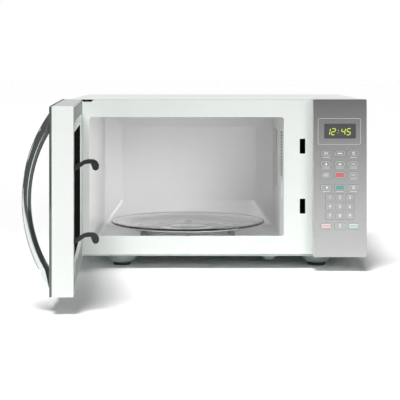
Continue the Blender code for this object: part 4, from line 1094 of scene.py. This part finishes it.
def segment_figure(figure, across, down, wide, tall, bar):
    """Bars of one figure; every bar leans with the whole figure."""
    half = tall / 2
    spots = {
        "a": (0, -half, 1), "g": (0, 0, 1), "d": (0, half, 1),
        "f": (-wide / 2, -half / 2, 0), "b": (wide / 2, -half / 2, 0),
        "e": (-wide / 2, half / 2, 0), "c": (wide / 2, half / 2, 0),
    }
    made = []
    for letter in SEGMENTS[figure]:
        u, v, flat = spots[letter]
        long = (wide if flat else half) / 2 - bar * 0.22
        b = bar / 2
        if flat:
            shape = [(-long, 0), (-long + b, -b), (long - b, -b), (long, 0), (long - b, b), (-long + b, b)]
        else:
            shape = [(0, -long), (b, -long + b), (b, long - b), (0, long), (-b, long - b), (-b, -long + b)]
        outline = [(across + u + p - (v + q) * LEAN, down + v + q) for p, q in shape]
        made.append(mark(outline, display_light, panel_face - ink))
    return made


figures = []
clock_down, figure_wide, figure_tall, bar_thick, dot = 0.0518, 0.0056, 0.0100, 0.0013, 0.0011
light_y = panel_face - ink
for figure, across in (("1", 0.0238), ("2", 0.0322), ("4", 0.0482), ("5", 0.0566)):
    figures += segment_figure(figure, across, clock_down, figure_wide, figure_tall, bar_thick)
for away in (-0.0020, 0.0020):
    figures.append(bar_mark(0.0400 - away * LEAN, clock_down + away, dot, dot, display_light, light_y))
fit(placed(gather("clock_figures", figures)), "cabinet", "display_glass")
display_frame = frame_mark(0.0417, 0.0513, 0.0686, 0.0420, 0.0030, 0.00035, print_white, panel_face)
fit(placed(gather("panel_print", [display_frame])), "cabinet", "silver_fascia")
print("clock bars:", len(figures))

# %% [markdown]
# ## The keys
#
# Every key is its own pad in the face. The pads take the same lacquer, so that only their
# outline and their picture show, apart from one red and one teal pad. The pictures are
# generic: rays, drops, bars and a clock, and each is drawn about the middle of its key.

# %% Pictures on the function keys


def small_picture(kind, across, down, face_y, ink_used):
    """Marks of one picture about the middle of a key."""

    def bar(right_by, down_by, wide, high, radius=0.0001):
        return bar_mark(across + right_by, down + down_by, wide, high, ink_used, face_y, radius)

    x, z = from_edges(across, down)
    if kind == "bar":
        return [bar(0.0, 0.0, 0.0075, 0.0014, 0.0004)]
    if kind == "bars":
        return [bar(0.0, step, 0.0085, 0.0008, 0.0002) for step in (-0.0014, 0.0014)]
    if kind == "dots":
        return [bar(step, 0.0, 0.0013, 0.0013, 0.0003) for step in (-0.0024, 0.0, 0.0024)]
    if kind == "rays":
        return [bar(0.0017 * (i - 1.5), 0.0, 0.0006, 0.0036) for i in range(4)]
    if kind == "triangle":
        shape = [(across - 0.0028, down + 0.0012), (across + 0.0028, down + 0.0012), (across, down - 0.0016)]
        return [mark(shape, ink_used, face_y)]
    if kind == "disc":
        return [raised("disc", circle((x + 0.0015, z), 0.0015, 20), ink_used, face_y)]
    if kind == "drop":
        low = (x, z - 0.0006)
        shape = arc(low, 0.0014, radians(150), radians(390), 14) + [(x, z + 0.0024)]
        return [raised("drop", shape, ink_used, face_y)]
    dial, hole = circle((x, z), 0.0024, 24), circle((x, z), 0.0018, 24)
    ring = plate("dial", dial, [hole], face_y - ink, face_y + ink, ALONG_Y, ink_used)
    return [ring, bar(0.0, -0.0008, 0.0005, 0.0018)]


# One picture for each function key in its order; a filled key has none.
PICTURES = (
    "rays", "bar", "clock", "drop", "triangle", "dots",
    "bars", "", "dots", "disc", "", "clock",
)
print("key pictures:", len(set(PICTURES) - {""}))

# %% [markdown]
# The digit keys carry a digit, and the zero also has a ring. The function keys have a ring
# with a picture, and two of them are filled with colour. The stop and start keys are pale
# bars with a line. One loop makes them all, and it reads each key's size from the model, so
# the print always fits its key.

# %% Key pads with their print
RING_CORNER, FILL_STEP, DIGIT_SIZE = 0.0036, 0.0017, 0.0072
filled_keys = {"key_program_8": ("red_pad", print_red), "key_program_11": ("teal_pad", print_teal)}
lined_keys = {"key_stop": (print_pink, print_red), "key_start": (print_mint, print_dark)}
key_nodes = [node for node in frame["nodes"] if node.startswith("key_")]


def key_print(label, across, down, wide, tall, face_y):
    """White print of a digit key or a function key."""
    spot = (across, down)
    if len(label) == 1:
        marks = [digit_mark(label, *spot, DIGIT_SIZE, print_white, face_y)]
        line, inset = 0.00022, 0.0012
    else:
        picture = PICTURES[int(label.split("_")[1]) - 1]
        marks = small_picture(picture, *spot, face_y, print_white) if picture else []
        line, inset = 0.00026, 0.0010
    if len(label) > 1 or label == "0":
        size = (wide - inset, tall - 0.0012)
        marks.insert(0, frame_mark(*spot, *size, RING_CORNER, line, print_white, face_y))
    return marks


for node in key_nodes:
    low, high = local_box(node)
    across, down = (low.x + high.x) / 2 - panel_left, top - (low.z + high.z) / 2
    wide, tall, face_y = high.x - low.x, high.z - low.z, low.y
    slot = filled_keys[node][0] if node in filled_keys else "key_pad"
    dress(node, f"{node}_pad", silver, 0.00012, slot, node)
    if node in lined_keys:
        pale, strong = lined_keys[node]
        marks = [bar_mark(across, down, wide - 0.0010, tall - 0.0030, pale, face_y, 0.0024)]
    else:
        marks = key_print(node.removeprefix("key_"), across, down, wide, tall, face_y)
    fit(placed(gather(f"{node}_print", marks)), node, slot)
    if node in lined_keys:
        line = bar_mark(across, down, wide - 0.0016, 0.0008, strong, face_y - ink)
        fit(placed(gather(f"{node}_line", [line])), node, slot)
    if node in filled_keys:
        colour = filled_keys[node][1]
        fills = [
            bar_mark(across, down + step, wide - 0.0030, 0.0026, colour, face_y, 0.0006)
            for step in (-FILL_STEP, FILL_STEP)
        ]
        fit(placed(gather(f"{node}_fill", fills)), node, slot)
print("keys dressed:", len(key_nodes))

# %% [markdown]
# Under most function keys stands a caption, shown as a row of short dashes. The digits are
# parted by fine lines, and their places are counted out from the key in the middle.

# %% Captions and the lines between the digits
captions = []
dash_wide, dash_high, dash_pitch, dashes = 0.0011, 0.0009, 0.00165, 7
for node in key_nodes:
    if node.startswith("key_program") and node not in ("key_program_2", "key_program_7", "key_program_8"):
        low, high = local_box(node)
        across, down = (low.x + high.x) / 2 - panel_left, top - low.z + 0.0016
        for i in range(dashes):
            away = dash_pitch * (i - 3)
            captions.append(bar_mark(across + away, down, dash_wide, dash_high, print_white, panel_face))
digit_low, digit_high = local_box("key_5")
middle_across = (digit_low.x + digit_high.x) / 2 - panel_left
middle_down = top - (digit_low.z + digit_high.z) / 2
column_pitch, row_pitch, line_thick = 0.0161, 0.0147, 0.0003
for half_step in (-0.5, 0.5):
    for step in (-1, 0, 1):
        across, down = middle_across + half_step * column_pitch, middle_down + step * row_pitch
        captions.append(bar_mark(across, down, line_thick, 0.0100, print_white, panel_face))
        across, down = middle_across + step * column_pitch, middle_down + half_step * row_pitch
        captions.append(bar_mark(across, down, 0.0110, line_thick, print_white, panel_face))
fit(placed(gather("panel_captions", captions)), "cabinet", "silver_fascia")
print("small marks:", len(captions))

# %% [markdown]
# ## The door
#
# The door has a flat glass front over a white moulded frame. Inside it sit the wave screen,
# a painted steel plate with very fine holes, and a grey plastic ring that covers the choke
# slot. The frame, the ring and the hooks keep their shape and get soft edges. The screen is
# split in two finishes: a white band and a black window.

# %% Door frame, glass, ring, hooks and spring
dress("door_frame", "frame_moulding", white_plastic, 0.0006, "white_plastic", "door")
dress("door_glass", "front_glass", door_glass, 0.0005, "door_glass", "door", 3)
dress("choke_cover", "choke_ring", choke_plastic, 0.0005, "choke_plastic", "door")
dress("latch_hooks", "hooks", black_plastic, 0.0006, "black_plastic", "latch", 3)
coil = dress("latch_spring", "spring_coil", spring_steel, 0.0001, "spring_steel", "door")
print("door parts dressed")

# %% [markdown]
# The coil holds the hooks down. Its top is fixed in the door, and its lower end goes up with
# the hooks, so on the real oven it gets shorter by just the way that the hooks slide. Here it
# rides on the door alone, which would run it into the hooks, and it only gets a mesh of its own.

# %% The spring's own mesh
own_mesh(coil)

# %% [markdown]
# The screen's holes are finer than a millimetre and there are thousands of them. Cutting
# each would cost far more than it shows, so the window's finish carries them: a regular
# cell pattern darkens the black paint at every hole, painted shade for the dark space
# behind it.

# %% Perforated black finish


def perforated(name):
    """Black paint with a regular field of darker dots of painted shade at the holes, and no sheen of its
    own.
    """
    made = finish(name, (0.013, 0.014, 0.014), 0.30, vary=0.1, grain=600.0, bump=0.004, rough_vary=0.05)
    tree = made.node_tree
    shader = tree.nodes["Principled BSDF"]
    shader.inputs["Specular IOR Level"].default_value = 0.0
    plain = shader.inputs["Base Color"].links[0].from_socket
    place = next(n for n in tree.nodes if n.type == "TEX_COORD")
    holes = add_node(tree, "ShaderNodeTexVoronoi")
    holes.inputs["Scale"].default_value = 480.0
    holes.inputs["Randomness"].default_value = 0.0
    tree.links.new(place.outputs["Object"], holes.inputs["Vector"])
    edge = add_node(tree, "ShaderNodeMapRange")
    edge.inputs["From Min"].default_value = 0.30
    edge.inputs["From Max"].default_value = 0.40
    tree.links.new(holes.outputs["Distance"], edge.inputs["Value"])
    mixed = add_node(tree, "ShaderNodeMix", data_type="RGBA")
    mixed.inputs["A"].default_value = (0.006, 0.006, 0.006, 1.0)
    tree.links.new(edge.outputs["Result"], mixed.inputs["Factor"])
    tree.links.new(plain, mixed.inputs["B"])
    tree.links.new(mixed.outputs["Result"], shader.inputs["Base Color"])
    return made


screen_black_and_hole_shade = perforated("screen_black_and_hole_shade")
print("window finish ready")

# %% [markdown]
# The screen is one pressed sheet: a white band that stands up from the door, folds over and
# slopes down to a black window in the middle. Its cross section is the same all the way
# round, so it is written once as pairs of distances, and each pair becomes a ring.

# %% Wave screen: white band and black window
screen_low, screen_high = [place - oven_origin for place in closed_box("door_screen")]
tuck, raise_by, band_wide, recess, slope, sheet = 0.0015, 0.005, 0.014, 0.0022, 0.0015, 0.001
inside_left, inside_right = screen_low.x + tuck, screen_high.x - tuck
inside_low, inside_high = screen_low.z + tuck, screen_high.z - tuck
band_face = screen_high.y
screen_corner = 0.003
upright, fold = 0.0003, 0.0008
pane_inset = band_wide + slope + 0.0004


def screen_rings(section):
    """Rings of the screen from (distance in from its edge, distance behind the band's face)."""
    rings = []
    for inset, behind in section:
        near, far = inside_left + inset, inside_right - inset
        low, high = inside_low + inset, inside_high - inset
        outline = rounded(near, low, far, high, screen_corner, 8)
        rings.append([(x, band_face - behind, z) for x, z in outline])
    return rings


band_section = (
    (-tuck, raise_by),
    (upright, raise_by),
    (upright, fold),
    (upright + 0.3 * fold, 0.3 * fold),
    (upright + fold, 0.0),
    (band_wide - 0.0006, 0.0),
    (band_wide + 0.0003, 0.0004),
    (band_wide + slope - 0.0003, recess - 0.0003),
    (pane_inset, recess),
    (pane_inset, recess + sheet),
    (band_wide - 0.0006, sheet),
    (upright + sheet, sheet),
    (upright + sheet, raise_by + sheet),
    (-tuck, raise_by + sheet),
)
pane_section = (
    (pane_inset, recess + 0.9 * sheet),
    (pane_inset, recess),
    (pane_inset + 0.002, recess - 0.0002),
)
band = on_door(skin("screen_band", screen_rings(band_section), front_paint, closed=True, crease=50.0))
fit(band, "door", "case_paint", "door_screen")
window = on_door(skin("screen_window", screen_rings(pane_section), screen_black_and_hole_shade, crease=30.0))
fit(window, "door", "case_paint", "door_screen")
print("screen", round(inside_right - inside_left, 4), "wide inside the ring")

# %% [markdown]
# ## The handle
#
# The handle is a bowed bar, chromed over a moulded core. Seen from the side it is a
# crescent with full ends that stand on the glass. Its front is slightly crowned, so that
# the room's reflection bends into long bands. Each ring here is a section across the bar,
# and the rings follow the bow. They lie closer together at the ends, where it turns most.

# %% Chrome handle
handle_low, handle_high = [place - oven_origin for place in closed_box("door_handle")]
middle_x, half_wide = (handle_low.x + handle_high.x) / 2, (handle_high.x - handle_low.x) / 2
middle_z, half_high = (handle_high.z + handle_low.z) / 2, (handle_high.z - handle_low.z) / 2
foot_y, outer_bow = handle_high.y, handle_high.y - handle_low.y
inner_chord, inner_bow = 0.182, 0.025
ring_count, end_gap, least_thick = 72, 0.0006, 0.0004
crown_most, crown_share = 0.0022, 0.2
# Each pair: share of the bar's depth from front to rear, and how far the side draws in there.
SIDE_PROFILE = (
    (0.00, 0.14), (0.04, 0.08), (0.10, 0.035), (0.18, 0.008), (0.24, 0.0), (0.54, 0.0),
    (0.58, 0.008), (0.64, 0.04), (0.78, 0.13), (0.92, 0.23), (1.00, 0.30),
)
FRONT_SHARES = [-1 + k / 6 for k in range(1, 12)]


def bow_depth(height, chord, bow):
    """How far a shallow arc stands out at a height above or below its middle."""
    if abs(height) >= chord / 2:
        return 0.0
    radius = (chord * chord / 4 + bow * bow) / (2 * bow)
    return sqrt(radius * radius - height * height) - (radius - bow)


def handle_ring(height):
    """Section across the bar: a crowned front and sides that draw in towards the rear."""
    front_y = foot_y - bow_depth(height, 2 * half_high, outer_bow)
    rear_y = foot_y - bow_depth(height, inner_chord, inner_bow)
    thick = max(least_thick, rear_y - front_y)
    crown = min(crown_most, thick * crown_share)
    deep = thick - crown
    side = [(half_wide - drop * thick, front_y + crown + share * deep) for share, drop in SIDE_PROFILE]
    section = [(middle_x + u * half_wide, front_y + crown * u * u) for u in FRONT_SHARES]
    section += [(middle_x + x, y) for x, y in side]
    section += [(middle_x - x, y) for x, y in reversed(side)]
    return [(x, y, middle_z + height) for x, y in section]


turns = [pi * i / ring_count for i in range(ring_count + 1)]
rings = [handle_ring(-cos(turn) * (half_high - end_gap)) for turn in turns]
handle = on_door(skin("handle_bar", rings, chrome, crease=60.0))
fit(handle, "door", "chrome", "door_handle")
print("handle", round(2 * half_high, 4), "long")

# %% [markdown]
# ## Hinges and the machine room
#
# Through the two slots of the front plate one looks into the dark space of the door switches.
# Two thin black walls behind the slots stand for it, so that no light from the machine room
# shows there.

# %% Shades behind the two slots
bracket_low, bracket_high = local_box("interlock_bracket")
slot_from_end, below, above = 0.022, 0.030, 0.026
shade_left, shade_right = bracket_low.x - 0.006, bracket_low.x + 0.024
shade_near, shade_far = bracket_high.y - 0.0008, bracket_high.y + 0.0004
shades = []
for hook_z in (bracket_low.z + slot_from_end, bracket_high.z - slot_from_end):
    low_corner = (shade_left, shade_near, hook_z - below)
    high_corner = (shade_right, shade_far, hook_z + above)
    shades.append(block("shade", low_corner, high_corner, switch_black_and_shade))
fit(placed(gather("slot_shades", shades)), "cabinet", "black_plastic")
print("slot shades:", len(shades))

# %% [markdown]
# The steel brackets of the hinges, the high-voltage parts and the fan are mostly hidden by
# the case, but they show through the slots and with the case lifted off. They keep the shape
# of the working model with soft edges, and each gets the finish of its material.

# %% Brackets and machine room
for node in ("hinge_upper", "hinge_lower"):
    dress(node, f"{node}_bracket", zinc_sheet, 0.0003, "zinc_sheet")
dress("interlock_bracket", "switch_bracket", switch_black_and_shade, 0.0004, "black_plastic")
dress("magnetron", "tube_box", zinc_sheet, 0.0005, "zinc_sheet")
dress("transformer", "iron_core", core_steel, 0.0006, "core_steel")
dress("capacitor", "oil_can", can_aluminium, 0.0012, "can_aluminium", segments=3)
dress("fan_motor", "motor_core", core_steel, 0.0005, "core_steel")
dress("turntable_motor", "table_motor", zinc_sheet, 0.0004, "zinc_sheet")
dress("control_board", "board", board_green, 0.0002, "circuit_board")
dress("cavity_lamp", "lamp_bulb", lamp_glass, 0.0003, "lamp_glass")
dress("cord_gland", "gland", black_plastic, 0.0004, "black_plastic")
dress("fan_blade", "fan", black_plastic, 0.0002, "black_plastic", "fan")
print("machine room dressed")
